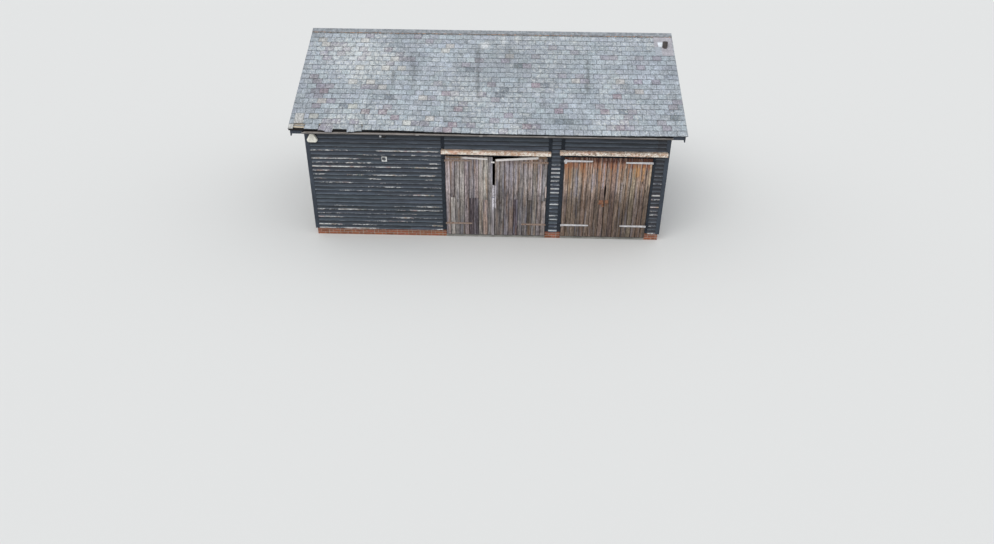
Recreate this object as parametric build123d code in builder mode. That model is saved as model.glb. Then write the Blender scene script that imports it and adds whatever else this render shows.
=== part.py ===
from build123d import *
from math import ceil, cos, floor, radians, sin, tan
import os

os.makedirs("parts", exist_ok=True)

# A boarded timber barn with a slate roof and two pairs of cart doors in its front.
# X runs along the front, Y from the front to the back and Z up, in millimetres.
# The origin is on the ground at the middle of the plan. The front faces -Y.

# The front from its left corner to its right one
left_wall_run = 3861
left_doorway_width = 2889
pier_width = 450
right_doorway_width = 2470
right_wall_run = 430

# Walls, measured over the boarding
wall_depth = 7070
boarding_depth = 40          # lapped boards, from the frame to their thickest edge
board_exposure = 120
board_butt = 22              # thickness of a board's lower edge
boarding_drip = 20           # how far the boards hang below the top of the plinth
corner_board_width = 115

# Brickwork and floor
plinth_height = 225
plinth_width = 215
floor_thickness = 60

# Timber frame
frame_depth = 100
sill_height = 100
stud_width = 75
stud_spacing = 600
plate_height = 100
post_width = 100
end_post_width = 70          # the narrow post at the right end of the right doorway

# Door heads and the lintels in front of them
doorway_height = 2505
lintel_rise = 85             # underside of the lintels above the doorways
lintel_height = 105
lintel_projection = 150
left_lintel_ends = (86, 70)  # past the doorway at its left and right
right_lintel_ends = (135, 360)

# Door leaves
leaf_gap = 8                 # leaf to post
leaf_base = 90
leaf_proud = 2               # leaf in front of the posts
leaf_board = 25
leaf_board_width = 132
groove = 6
ledge_depth = 35
ledge_height = 150
ledge_inset = 45
lower_ledge_level = 450
upper_ledge_drop = 175       # below the doorway's head
left_meeting_offset = -66    # where the leaves meet, from the middle of the doorway
left_meeting_gap = 65
right_meeting_offset = -25
right_meeting_gap = 10

# Hinges
pin_radius = 7.5
pin_clearance = 0.5
eye_radius = 14
eye_height = 60
strap_thickness = 8
strap_tip_height = 42
hinge_slack = 2              # between an eye and the lugs that hold its pin
lug_thickness = 10
pin_plate_width = 70
pin_plate_gap = 6
pin_plate_thickness = 8

# Strip over the gap between the left bay's leaves
strip_width = 82
strip_thickness = 20
strip_height = 1570
strip_setback = 10

# Hasp and padlock
hasp_length = 160
hasp_width = 44
hasp_thickness = 5
hasp_level = 1150
hasp_setback = 6             # tip of the hasp from the free edge of its leaf
padlock_width = 56
padlock_height = 52
padlock_depth = 24
padlock_rounding = 6
shackle_radius = 17
shackle_wire = 5
shackle_leg = 20
staple_width = 8
staple_height = 16
staple_reach = 22            # out of the hasp

# Roof
roof_pitch = 27.3
eaves_height = 3250          # lower edge of the slates
eaves_overhang = 250
verge_overhang = 376
slate_gauge = 204
slate_thickness = 8
slates_depth = 20
ridge_gap = 3                # each slope's slates to the middle of the ridge
batten_depth = 25
batten_width = 50
batten_setback = 20          # batten ends inside the edge of the slates
rafter_depth = 100
rafter_width = 50
rafter_spacing = 450
rafter_setback = 115         # rafter ends behind the lower edge of the slates
seat_cut = 30
ridge_board_width = 40
ridge_board_depth = 200
purlin_depth = 150
purlin_width = 75
purlin_along = 2150          # up the slope from the eaves to the middle of the purlin
principal_depth = 150
truss_width = 100
tie_depth = 200
strut_depth = 100
verge_board_depth = 175
verge_board_thickness = 30
verge_board_setback = 40     # outer face inside the edge of the slates
fit = 3                      # clearance where timbers pass through the boarding

# Slate missing from the left of the front eaves: distance from the verge, and width
missing_slate = (141, 300)

# Ridge tiles
ridge_wing = 165
ridge_tile_thickness = 15
ridge_tile_length = 450
ridge_joint = 4
seat_clearance = 0.3         # between a piece and what it lies on

# Gutters
fascia_thickness = 20
fascia_depth = 115
gutter_setback = 25          # gutter ends inside the walls' corners
gutter_gap = 15              # behind the gutter
gutter_drop = 30             # lip below the slates
gutter_radius = 62.5
gutter_wall = 3
bracket_spacing = 880
bracket_width = 25
bracket_wall = 5
bracket_arm_height = 40
bracket_bite = 1             # how far brackets and gutter run into each other

# Alarm box
alarm_inset = 220            # its middle from the left corner
alarm_drop = 280             # its middle below the slates
alarm_radius = 215
alarm_rounding = 62
alarm_depth = 80
alarm_edge = 12

# Wall lamp with its sensor
lamp_inset = 2180
lamp_drop = 172
lamp_plate_width = 70
lamp_plate_thickness = 12
lamp_plate_lap = 5           # plate taller than one course, so that it bears on a board's edge
lamp_arm = (30, 48)          # thickness and length
lamp_head = (100, 50, 80)    # width, depth and height
lamp_head_offset = 35
lamp_head_rounding = 8
sensor_radius = 27
sensor_offset = 57

# Square vent in the boarding
vent_inset = 2174
vent_drop = 862
vent_plate = (146, 137)
vent_plate_thickness = 25
vent_hole_radius = 46

# Pipe through the roof with its lead flashing
pipe_inset = 258             # from the right verge
pipe_below_ridge = 609
pipe_radius = 75
pipe_height = 150
pipe_bore = 58
pipe_bore_depth = 110
flashing_width = 540
flashing_length = 820
flashing_inset = 26
flashing_below_ridge = 180
flashing_thickness = 4

# Derived places shared by the pieces
wall_length = (
    left_wall_run + left_doorway_width + pier_width + right_doorway_width + right_wall_run
)
wall_x = wall_length / 2
wall_y = wall_depth / 2
face_x = wall_x - boarding_depth
face_y = wall_y - boarding_depth
slope = radians(roof_pitch)
half_run = wall_y + eaves_overhang
roof_half = wall_x + verge_overhang
slope_length = half_run / cos(slope)
courses = round(slope_length / slate_gauge)
gauge = slope_length / courses
rafter_top = slates_depth + batten_depth
rafter_under = rafter_top + rafter_depth
purlin_under = rafter_under + purlin_depth
principal_under = purlin_under + principal_depth
foot_y = half_run - rafter_setback
timber_half = roof_half - verge_board_setback - verge_board_thickness
boarding_base = plinth_height - boarding_drip
sill_top = plinth_height + sill_height
lintel_base = doorway_height + lintel_rise
lintel_top = lintel_base + lintel_height


def slope_z(y, below):
    """Height at distance y from the middle of a plane so far below the slates' top plane."""
    return eaves_height + (half_run - y) * tan(slope) - below / cos(slope)


def on_slope(side, along, below):
    """Point (Y, Z) up the slope from the eaves and below the slates' top plane."""
    y = half_run - along * cos(slope) - below * sin(slope)
    z = eaves_height + along * sin(slope) - below * cos(slope)
    return side * y, z


def slope_band(side, outer, inner, top, under):
    """Outline of a timber along the slope, with plumb ends at distances outer and inner."""
    return [
        (side * outer, slope_z(outer, top)),
        (side * inner, slope_z(inner, top)),
        (side * inner, slope_z(inner, under)),
        (side * outer, slope_z(outer, under)),
    ]


def slope_patch(side, low, high, top, under):
    """Outline of a piece square to the slope, between two distances up it."""
    return [
        on_slope(side, low, under),
        on_slope(side, high, under),
        on_slope(side, high, top),
        on_slope(side, low, top),
    ]


plate_top = slope_z(face_y, rafter_under) + seat_cut
plate_base = plate_top - plate_height
ridge_board_top = slope_z(ridge_board_width / 2, rafter_top)
ridge_board_base = ridge_board_top - ridge_board_depth
boarding_top = slope_z(wall_y, rafter_under) - fit

left_doorway = (left_wall_run - wall_x, left_wall_run + left_doorway_width - wall_x)
right_doorway = (left_doorway[1] + pier_width, wall_x - right_wall_run)
truss_x = (left_doorway[0] - post_width / 2, left_doorway[1] + pier_width / 2)


def keep(piece, node):
    """Label a finished piece and write it."""
    piece.part.label = node
    export_step(piece.part, f"parts/{node}.step")


def bar(x, y, z):
    """Square bar between pairs of X, Y and Z limits, added to the part being built."""
    with Locations(((x[0] + x[1]) / 2, (y[0] + y[1]) / 2, (z[0] + z[1]) / 2)):
        Box(x[1] - x[0], y[1] - y[0], z[1] - z[0])


# Floor, inside the plinth and through the doorways
inner_x = face_x - plinth_width
inner_y = face_y - plinth_width
with BuildPart() as floor_slab:
    bar((-inner_x, inner_x), (-inner_y, inner_y), (0, floor_thickness))
    for doorway in (left_doorway, right_doorway):
        bar(doorway, (-face_y, -inner_y), (0, floor_thickness))
keep(floor_slab, "floor_slab")

# Brick plinth
front_runs = (
    (-face_x, left_doorway[0]),
    (left_doorway[1], right_doorway[0]),
    (right_doorway[1], face_x),
)
with BuildPart() as plinth_front:
    for run in front_runs:
        bar(run, (-face_y, -inner_y), (0, plinth_height))
keep(plinth_front, "plinth_front")

with BuildPart() as plinth_back:
    bar((-face_x, face_x), (inner_y, face_y), (0, plinth_height))
keep(plinth_back, "plinth_back")

for side, node in ((-1, "plinth_left"), (1, "plinth_right")):
    with BuildPart() as plinth_side:
        ends = sorted((side * inner_x, side * face_x))
        bar(ends, (-inner_y, inner_y), (0, plinth_height))
    keep(plinth_side, node)


def stud_places(start, end):
    """Middles of the studs that share out a run at about the stud spacing."""
    bays = max(1, round((end - start) / stud_spacing))
    return [start + (end - start) * step / bays for step in range(1, bays)]


def studs(start, end, across, z):
    """Studs that share out a run, added to the part being built."""
    for middle in stud_places(start, end):
        bar((middle - stud_width / 2, middle + stud_width / 2), across, z)


# Front frame, in three lengths: sill, studs and the posts that show beside the doors
front_y = (-face_y, -face_y + frame_depth)
post_y = (-wall_y, -face_y + frame_depth)
wall_z = (sill_top, plate_base)
post_z = (plinth_height, plate_base)
sill_z = (plinth_height, sill_top)
inner_corner = face_x - frame_depth
left_post = (left_doorway[0] - post_width, left_doorway[0])
end_post = (right_doorway[1], right_doorway[1] + end_post_width)
pier_posts = (
    (left_doorway[1], left_doorway[1] + post_width),
    (right_doorway[0] - post_width, right_doorway[0]),
)

with BuildPart() as frame_front_left:
    bar((-face_x, left_post[0]), front_y, sill_z)
    bar((-face_x, -inner_corner), front_y, wall_z)
    bar(left_post, post_y, post_z)
    studs(-inner_corner, left_post[0], front_y, wall_z)
keep(frame_front_left, "frame_front_left")

with BuildPart() as frame_pier:
    bar((pier_posts[0][1], pier_posts[1][0]), front_y, sill_z)
    for post in pier_posts:
        bar(post, post_y, post_z)
keep(frame_pier, "frame_pier")

with BuildPart() as frame_front_right:
    bar((end_post[1], face_x), front_y, sill_z)
    bar((inner_corner, face_x), front_y, wall_z)
    bar(end_post, front_y, post_z)
    bar(end_post, (-wall_y, -face_y), (plinth_height, lintel_top))
keep(frame_front_right, "frame_front_right")

# Heads over the doorways with the short studs that stand on them
with BuildPart() as door_heads:
    for doorway in (left_doorway, right_doorway):
        bar(doorway, front_y, (doorway_height, lintel_top))
        studs(*doorway, front_y, (lintel_top, plate_base))
keep(door_heads, "door_heads")

# Back frame, with a post under each truss
back_y = (face_y - frame_depth, face_y)
back_posts = [(middle - post_width / 2, middle + post_width / 2) for middle in truss_x]
back_stops = [-inner_corner, *truss_x, inner_corner]
with BuildPart() as frame_back:
    bar((-face_x, face_x), back_y, sill_z)
    for post in [(-face_x, -inner_corner), *back_posts, (inner_corner, face_x)]:
        bar(post, back_y, wall_z)
    for start, end in zip(back_stops, back_stops[1:]):
        studs(start, end, back_y, wall_z)
keep(frame_back, "frame_back")

# Wall plates, run out past the gables to carry the verges
for side, node in ((-1, "wall_plate_front"), (1, "wall_plate_back")):
    with BuildPart() as wall_plate:
        across = sorted((side * face_y, side * (face_y - frame_depth)))
        bar((-timber_half, timber_half), across, (plate_base, plate_top))
    keep(wall_plate, node)


def purlin_outline(side, grow=0):
    """Corners of a purlin's section, grown by a clearance."""
    reach = purlin_width / 2 + grow
    low, high = purlin_along - reach, purlin_along + reach
    return slope_patch(side, low, high, rafter_under, purlin_under + grow)


def timber_ways(plane):
    """Ways of the wall plates, purlins and ridge board through a gable, as a sketch."""
    with BuildSketch(plane) as ways:
        for side in (-1, 1):
            with Locations((side * (face_y - frame_depth / 2), (plate_base + plate_top) / 2)):
                Rectangle(frame_depth + 2 * fit, plate_height + 2 * fit)
            Polygon(*purlin_outline(side, fit), align=None)
        with Locations((0, (ridge_board_base + ridge_board_top) / 2)):
            Rectangle(ridge_board_width + 2 * fit, ridge_board_depth + 2 * fit)
    return ways.sketch


# Gable frames: sill, rail at the plates and studs up to the rafters
gable_y = face_y - frame_depth
for side, node in ((-1, "frame_left"), (1, "frame_right")):
    start = min(side * face_x, side * inner_corner)
    with BuildPart() as frame_side:
        with BuildSketch(Plane.YZ.offset(start)):
            with Locations((0, (plinth_height + sill_top) / 2)):
                Rectangle(2 * gable_y, sill_height)
            for middle in stud_places(-gable_y, gable_y):
                with Locations((middle, (sill_top + ridge_board_top) / 2)):
                    Rectangle(stud_width, ridge_board_top - sill_top)
            Polygon(
                (-gable_y, plinth_height),
                (gable_y, plinth_height),
                (gable_y, slope_z(gable_y, rafter_under) - fit),
                (0, slope_z(0, rafter_under) - fit),
                (-gable_y, slope_z(gable_y, rafter_under) - fit),
                align=None,
                mode=Mode.INTERSECT,
            )
            with Locations((0, (plate_base + plate_top) / 2)):
                Rectangle(2 * gable_y, plate_height)
        extrude(amount=frame_depth)
        extrude(timber_ways(Plane.YZ.offset(start)), amount=frame_depth, mode=Mode.SUBTRACT)
    keep(frame_side, node)

# Roof trusses: principals, king post and struts, cut off on the tie beam's top
strut_foot = plate_top + strut_depth / 2
for middle, node in zip(truss_x, ("truss_left", "truss_right")):
    with BuildPart() as truss:
        with BuildSketch(Plane.YZ.offset(middle - truss_width / 2)):
            with Locations((0, plate_top)):
                Rectangle(
                    truss_width, ridge_board_base - plate_top, align=(Align.CENTER, Align.MIN)
                )
            for side in (-1, 1):
                Polygon(*slope_band(side, gable_y, 0, purlin_under, principal_under), align=None)
                head_y, head_z = on_slope(
                    side, purlin_along, (purlin_under + principal_under) / 2
                )
                Polygon(
                    (0, strut_foot - strut_depth / 2),
                    (head_y, head_z - strut_depth / 2),
                    (head_y, head_z + strut_depth / 2),
                    (0, strut_foot + strut_depth / 2),
                    align=None,
                )
            with Locations((0, plate_top)):
                below = (Align.CENTER, Align.MAX)
                Rectangle(2 * gable_y, plate_top, align=below, mode=Mode.SUBTRACT)
                Rectangle(2 * gable_y, tie_depth, align=below)
        extrude(amount=truss_width)
    keep(truss, node)

# Purlins and ridge board
with BuildPart() as purlins:
    with BuildSketch(Plane.YZ.offset(-timber_half)):
        for side in (-1, 1):
            Polygon(*purlin_outline(side), align=None)
    extrude(amount=2 * timber_half)
keep(purlins, "purlins")

with BuildPart() as ridge_board:
    half_width = ridge_board_width / 2
    ridge_z = (ridge_board_base, ridge_board_top)
    bar((-timber_half, timber_half), (-half_width, half_width), ridge_z)
keep(ridge_board, "ridge_board")

# Rafters, notched over the wall plates
rafter_bays = round((2 * face_x - rafter_width) / rafter_spacing)
rafter_step = (2 * face_x - rafter_width) / rafter_bays
rafter_x = [-face_x + bay * rafter_step for bay in range(rafter_bays + 1)]
for side, node in ((-1, "rafters_front"), (1, "rafters_back")):
    with BuildPart() as rafters:
        with BuildSketch(*[Plane.YZ.offset(start) for start in rafter_x]):
            outline = slope_band(side, foot_y, ridge_board_width / 2, rafter_top, rafter_under)
            Polygon(*outline, align=None)
            with Locations((side * (face_y - frame_depth / 2), plate_top)):
                seat = (Align.CENTER, Align.MAX)
                Rectangle(frame_depth, plate_height, align=seat, mode=Mode.SUBTRACT)
        extrude(amount=rafter_width)
    keep(rafters, node)

# Battens, one under the head of each course
batten_half = roof_half - batten_setback
for side, node in ((-1, "battens_front"), (1, "battens_back")):
    with BuildPart() as battens:
        with BuildSketch(Plane.YZ.offset(-batten_half)):
            for course in range(courses):
                start = course * gauge + batten_width
                end = start + batten_width
                Polygon(*slope_patch(side, start, end, slates_depth, rafter_top), align=None)
        extrude(amount=2 * batten_half)
    keep(battens, node)


def slate_outline(side):
    """Stepped section of one slope: each course stands a slate above the next one up."""
    points = [on_slope(side, 0, slates_depth)]
    for course in range(courses):
        points.append(on_slope(side, course * gauge, 0))
        if course < courses - 1:
            points.append(on_slope(side, (course + 1) * gauge, slate_thickness))
    points.append((side * ridge_gap, slope_z(ridge_gap, slate_thickness)))
    points.append((side * ridge_gap, slope_z(ridge_gap, slates_depth)))
    return points


# Slates, with a hole where one is missing from the front eaves
for side, node in ((-1, "slates_front"), (1, "slates_back")):
    with BuildPart() as slates:
        with BuildSketch(Plane.YZ.offset(-roof_half)):
            Polygon(*slate_outline(side), align=None)
        extrude(amount=2 * roof_half)
        if side < 0:
            hole = slope_patch(side, -slates_depth, gauge, -slates_depth, 2 * slates_depth)
            inset, width = missing_slate
            with BuildSketch(Plane.YZ.offset(inset - roof_half)):
                Polygon(*hole, align=None)
            extrude(amount=width, mode=Mode.SUBTRACT)
    keep(slates, node)

# Ridge tiles, bent over the top course of both slopes
ridge_tiles_count = round(2 * roof_half / ridge_tile_length)
ridge_step = 2 * roof_half / ridge_tiles_count
wing_y = ridge_wing * cos(slope)
wing_tail = (half_run - wing_y) / cos(slope) / gauge - (courses - 1)
ridge_seat = slate_thickness * max(wing_tail, 0) - seat_clearance
tile_x = [tile * ridge_step - roof_half + ridge_joint / 2 for tile in range(ridge_tiles_count)]
with BuildPart() as ridge_tiles:
    with BuildSketch(*[Plane.YZ.offset(start) for start in tile_x]):
        tile_top = ridge_seat - ridge_tile_thickness
        Polygon(
            (-wing_y, slope_z(wing_y, ridge_seat)),
            (0, slope_z(0, ridge_seat)),
            (wing_y, slope_z(wing_y, ridge_seat)),
            (wing_y, slope_z(wing_y, tile_top)),
            (0, slope_z(0, tile_top)),
            (-wing_y, slope_z(wing_y, tile_top)),
            align=None,
        )
    extrude(amount=ridge_step - ridge_joint)
keep(ridge_tiles, "ridge_tiles")

# Verge boards on the ends of the plates, purlins and ridge board
for side, node in ((-1, "verge_boards_left"), (1, "verge_boards_right")):
    start = min(side * timber_half, side * (timber_half + verge_board_thickness))
    with BuildPart() as verge_boards:
        with BuildSketch(Plane.YZ.offset(start)):
            for slope_side in (-1, 1):
                under = rafter_top + verge_board_depth
                Polygon(*slope_band(slope_side, foot_y, 0, rafter_top, under), align=None)
        extrude(amount=verge_board_thickness)
    keep(verge_boards, node)

# Fascia boards on the feet of the rafters
fascia_face = foot_y + fascia_thickness
fascia_top = slope_z(fascia_face, rafter_top)
for side, node in ((-1, "fascia_front"), (1, "fascia_back")):
    with BuildPart() as fascia:
        across = sorted((side * foot_y, side * fascia_face))
        bar((-timber_half, timber_half), across, (fascia_top - fascia_depth, fascia_top))
    keep(fascia, node)

# Half-round gutters with their brackets
gutter_length = wall_length - 2 * gutter_setback
gutter_y = fascia_face + gutter_gap + gutter_radius
gutter_lip = eaves_height - gutter_drop
bracket_bays = round(gutter_length / bracket_spacing)
bracket_step = gutter_length / bracket_bays
bracket_x = [(bay + 0.5) * bracket_step - gutter_length / 2 for bay in range(bracket_bays)]


def half_ring(middle, outer, inner):
    """Lower half of a ring around a point of the section, added to the sketch being drawn."""
    with Locations(middle):
        Circle(outer)
        if inner:
            Circle(inner, mode=Mode.SUBTRACT)
        Rectangle(2 * outer, outer, align=(Align.CENTER, Align.MIN), mode=Mode.SUBTRACT)


for side, node in ((-1, "gutter_front"), (1, "gutter_back")):
    middle = (side * gutter_y, gutter_lip)
    with BuildPart() as gutter:
        with BuildSketch(Plane.YZ.offset(-gutter_length / 2)):
            half_ring(middle, gutter_radius, gutter_radius - gutter_wall)
        extrude(amount=gutter_length)
        end_x = (-gutter_length / 2, gutter_length / 2 - gutter_wall)
        with BuildSketch(*[Plane.YZ.offset(start) for start in end_x]):
            half_ring(middle, gutter_radius, 0)
        extrude(amount=gutter_wall)
        with BuildSketch(*[Plane.YZ.offset(place - bracket_width / 2) for place in bracket_x]):
            half_ring(middle, gutter_radius + bracket_wall, gutter_radius - bracket_bite)
            arm = gutter_gap + bracket_bite
            arm_y = side * (fascia_face + arm / 2)
            with Locations((arm_y, gutter_lip)):
                Rectangle(arm, bracket_arm_height, align=(Align.CENTER, Align.MAX))
        extrude(amount=bracket_width)
    keep(gutter, node)


def boarding_outline(base, top):
    """Points (out, Z) of lapped boarding whose courses all start from the plinth."""
    points = [(0, base)]
    first = floor((base - boarding_base) / board_exposure)
    last = ceil((top - boarding_base) / board_exposure)
    for board in range(first, last):
        foot = boarding_base + board * board_exposure
        for z in (max(base, foot), min(top, foot + board_exposure)):
            points.append((boarding_depth - board_butt * (z - foot) / board_exposure, z))
    points.append((0, top))
    return points


def long_boarding(side, x, z):
    """Boarding on the front (-1) or back (1) between limits along X and Z."""
    outline = [(side * (face_y + out), up) for out, up in boarding_outline(*z)]
    with BuildPart() as panel:
        with BuildSketch(Plane.YZ.offset(x[0])):
            Polygon(*outline, align=None)
        extrude(amount=x[1] - x[0])
    return panel


# Boarding of the front and back, cut between the posts that show
corner_x = wall_x - corner_board_width
full_height = (boarding_base, boarding_top)
over_doors = (lintel_top, boarding_top)
keep(long_boarding(-1, (-corner_x, left_post[0]), full_height), "boarding_front_left")
keep(long_boarding(-1, (pier_posts[0][1], pier_posts[1][0]), full_height), "boarding_pier")
keep(long_boarding(-1, (end_post[1], corner_x), full_height), "boarding_front_right")
keep(long_boarding(-1, left_doorway, over_doors), "boarding_over_left_doors")
keep(long_boarding(-1, (right_doorway[0], end_post[1]), over_doors), "boarding_over_right_doors")
keep(long_boarding(1, (-corner_x, corner_x), full_height), "boarding_back")

# Boarding of the gables, up to the battens
corner_y = wall_y - corner_board_width
gable_half = [
    (corner_y, boarding_base),
    (corner_y, boarding_top),
    (wall_y, boarding_top),
    (wall_y, slope_z(wall_y, rafter_top) - fit),
    (ridge_board_width / 2, ridge_board_top - fit),
]
gable_outline = gable_half + [(-y, z) for y, z in reversed(gable_half)]
for side, node in ((-1, "boarding_left"), (1, "boarding_right")):
    start = min(side * face_x, side * wall_x)
    with BuildPart() as gable:
        with BuildSketch(Plane.XZ):
            outline = boarding_outline(boarding_base, ridge_board_top)
            Polygon(*[(side * (face_x + out), up) for out, up in outline], align=None)
        extrude(amount=wall_depth, both=True)
        with BuildSketch(Plane.YZ.offset(start)):
            Polygon(*gable_outline, align=None)
        extrude(amount=boarding_depth, mode=Mode.INTERSECT)
        extrude(timber_ways(Plane.YZ.offset(start)), amount=boarding_depth, mode=Mode.SUBTRACT)
    keep(gable, node)

# Corner boards, an angle at each corner
with BuildPart() as corner_boards:
    with BuildSketch(Plane.XY.offset(boarding_base)):
        for x_side in (-1, 1):
            for y_side in (-1, 1):
                inward = (
                    Align.MIN if x_side < 0 else Align.MAX,
                    Align.MIN if y_side < 0 else Align.MAX,
                )
                with Locations((x_side * wall_x, y_side * wall_y)):
                    Rectangle(corner_board_width, boarding_depth, align=inward)
                    Rectangle(boarding_depth, corner_board_width, align=inward)
    extrude(amount=boarding_top - boarding_base)
    extrude(timber_ways(Plane.YZ.offset(-wall_x)), amount=wall_length, mode=Mode.SUBTRACT)
keep(corner_boards, "corner_boards")

# Lintels, proud of the boarding
lintel_y = (-wall_y - lintel_projection, -wall_y)
for doorway, ends, node in (
    (left_doorway, left_lintel_ends, "lintel_left"),
    (right_doorway, right_lintel_ends, "lintel_right"),
):
    with BuildPart() as lintel:
        bar((doorway[0] - ends[0], doorway[1] + ends[1]), lintel_y, (lintel_base, lintel_top))
    keep(lintel, node)


def meeting_edges(doorway, offset, gap):
    """Free edges of the left and right leaves of a doorway."""
    middle = (doorway[0] + doorway[1]) / 2 + offset
    return middle - gap / 2, middle + gap / 2


# Each leaf: hinge side, edge of its post, free edge, drops of its top below the doorway's head
# at the hinge and at the free edge, drop of its upper strap, and length of its straps
leaf_front = wall_y + leaf_proud
pin_y = -(leaf_front + eye_radius)
left_free, right_free = meeting_edges(left_doorway, left_meeting_offset, left_meeting_gap)
lock_free, other_free = meeting_edges(right_doorway, right_meeting_offset, right_meeting_gap)
leaves = {
    "left_bay_left": (-1, left_doorway[0], left_free, 15, 75, 120, 755),
    "left_bay_right": (1, left_doorway[1], right_free, 30, 80, 148, 700),
    "right_bay_left": (-1, right_doorway[0], lock_free, 20, 25, 81, 800),
    "right_bay_right": (1, right_doorway[1], other_free, 20, 25, 105, 750),
}
ledge_levels = (
    lower_ledge_level,
    (lower_ledge_level + doorway_height - upper_ledge_drop) / 2,
    doorway_height - upper_ledge_drop,
)


def leaf_part(side, jamb, free, hinge_drop, free_drop):
    """Boards of one leaf with the ledges and braces on their back."""
    hinge_edge = jamb - side * leaf_gap
    board_count = round(abs(free - hinge_edge) / leaf_board_width)
    board_step = (free - hinge_edge) / board_count
    joints = [hinge_edge + board * board_step for board in range(1, board_count)]
    ledge_near = hinge_edge - side * ledge_inset
    ledge_far = free + side * ledge_inset
    back = leaf_front - leaf_board
    with BuildPart() as leaf:
        with BuildSketch(Plane.XZ.offset(back)):
            Polygon(
                (hinge_edge, leaf_base),
                (free, leaf_base),
                (free, doorway_height - free_drop),
                (hinge_edge, doorway_height - hinge_drop),
                align=None,
            )
        extrude(amount=leaf_board)
        with BuildSketch(Plane.XY.offset(leaf_base)):
            with Locations(*[(joint, y) for joint in joints for y in (-leaf_front, -back)]):
                Rectangle(groove, groove)
        extrude(amount=doorway_height, mode=Mode.SUBTRACT)
        with BuildSketch(Plane.XZ.offset(back - ledge_depth)):
            for level in ledge_levels:
                with Locations(((ledge_near + ledge_far) / 2, level)):
                    Rectangle(abs(ledge_far - ledge_near), ledge_height)
            for low, high in zip(ledge_levels, ledge_levels[1:]):
                Polygon(
                    (ledge_near, low),
                    (ledge_near - side * ledge_height, low),
                    (ledge_far, high),
                    (ledge_far + side * ledge_height, high),
                    align=None,
                )
        extrude(amount=ledge_depth)
    return leaf


def pin_place(side, jamb):
    """X and Y of the pins of one leaf, in the middle of the gap beside its post."""
    return jamb - side * leaf_gap / 2, pin_y


def strap_part(side, jamb, levels, length):
    """Strap hinges of one leaf, tapered to round tips and curled round their pins."""
    pin_x, _ = pin_place(side, jamb)
    tip = pin_x - side * (length - strap_tip_height / 2)
    with BuildPart() as straps:
        with BuildSketch(Plane.XZ.offset(leaf_front)):
            for level in levels:
                Polygon(
                    (pin_x, level - eye_height / 2),
                    (tip, level - strap_tip_height / 2),
                    (tip, level + strap_tip_height / 2),
                    (pin_x, level + eye_height / 2),
                    align=None,
                )
                with Locations((tip, level)):
                    Circle(strap_tip_height / 2)
        extrude(amount=strap_thickness)
        eye_bases = [Plane.XY.offset(level - eye_height / 2) for level in levels]
        for radius, mode in ((eye_radius, Mode.ADD), (pin_radius + pin_clearance, Mode.SUBTRACT)):
            with BuildSketch(*eye_bases):
                with Locations(pin_place(side, jamb)):
                    Circle(radius)
            extrude(amount=eye_height, mode=mode)
    return straps


for node, (side, jamb, free, hinge_drop, free_drop, strap_drop, length) in leaves.items():
    levels = (lower_ledge_level, doorway_height - strap_drop)
    keep(leaf_part(side, jamb, free, hinge_drop, free_drop), f"{node}_leaf")
    keep(strap_part(side, jamb, levels, length), f"{node}_straps")

# Hinge pins, held by lugs on plates that are fixed to the posts
lug_offset = eye_height / 2 + hinge_slack
half_height = lug_offset + lug_thickness
plate_y = (-wall_y - pin_plate_thickness, -wall_y)
with BuildPart() as hinge_pins:
    for side, jamb, free, hinge_drop, free_drop, strap_drop, length in leaves.values():
        pin_x, _ = pin_place(side, jamb)
        plate_near = pin_x + side * (eye_radius + pin_plate_gap)
        plate_far = plate_near + side * pin_plate_width
        levels = (lower_ledge_level, doorway_height - strap_drop)
        with BuildSketch(*[Plane.XY.offset(level - half_height) for level in levels]):
            with Locations((pin_x, pin_y)):
                Circle(pin_radius)
        extrude(amount=2 * half_height)
        lug_bases = [level - half_height for level in levels]
        lug_bases += [level + lug_offset for level in levels]
        with BuildSketch(*[Plane.XY.offset(base) for base in lug_bases]):
            with Locations((pin_x, pin_y)):
                Circle(eye_radius)
            with Locations(((pin_x + plate_far) / 2, pin_y)):
                Rectangle(abs(plate_far - pin_x), 2 * eye_radius)
        extrude(amount=lug_thickness)
        for level in levels:
            plate_z = (level - half_height, level + half_height)
            bar(sorted((plate_near, plate_far)), plate_y, plate_z)
keep(hinge_pins, "hinge_pins")

# Strip that hides the lower part of the gap between the left bay's leaves
with BuildPart() as meeting_strip:
    strip_right = right_free - strip_setback
    strip_y = (-leaf_front - strip_thickness, -leaf_front)
    strip_z = (leaf_base, leaf_base + strip_height)
    bar((strip_right - strip_width, strip_right), strip_y, strip_z)
keep(meeting_strip, "meeting_strip")

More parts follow.
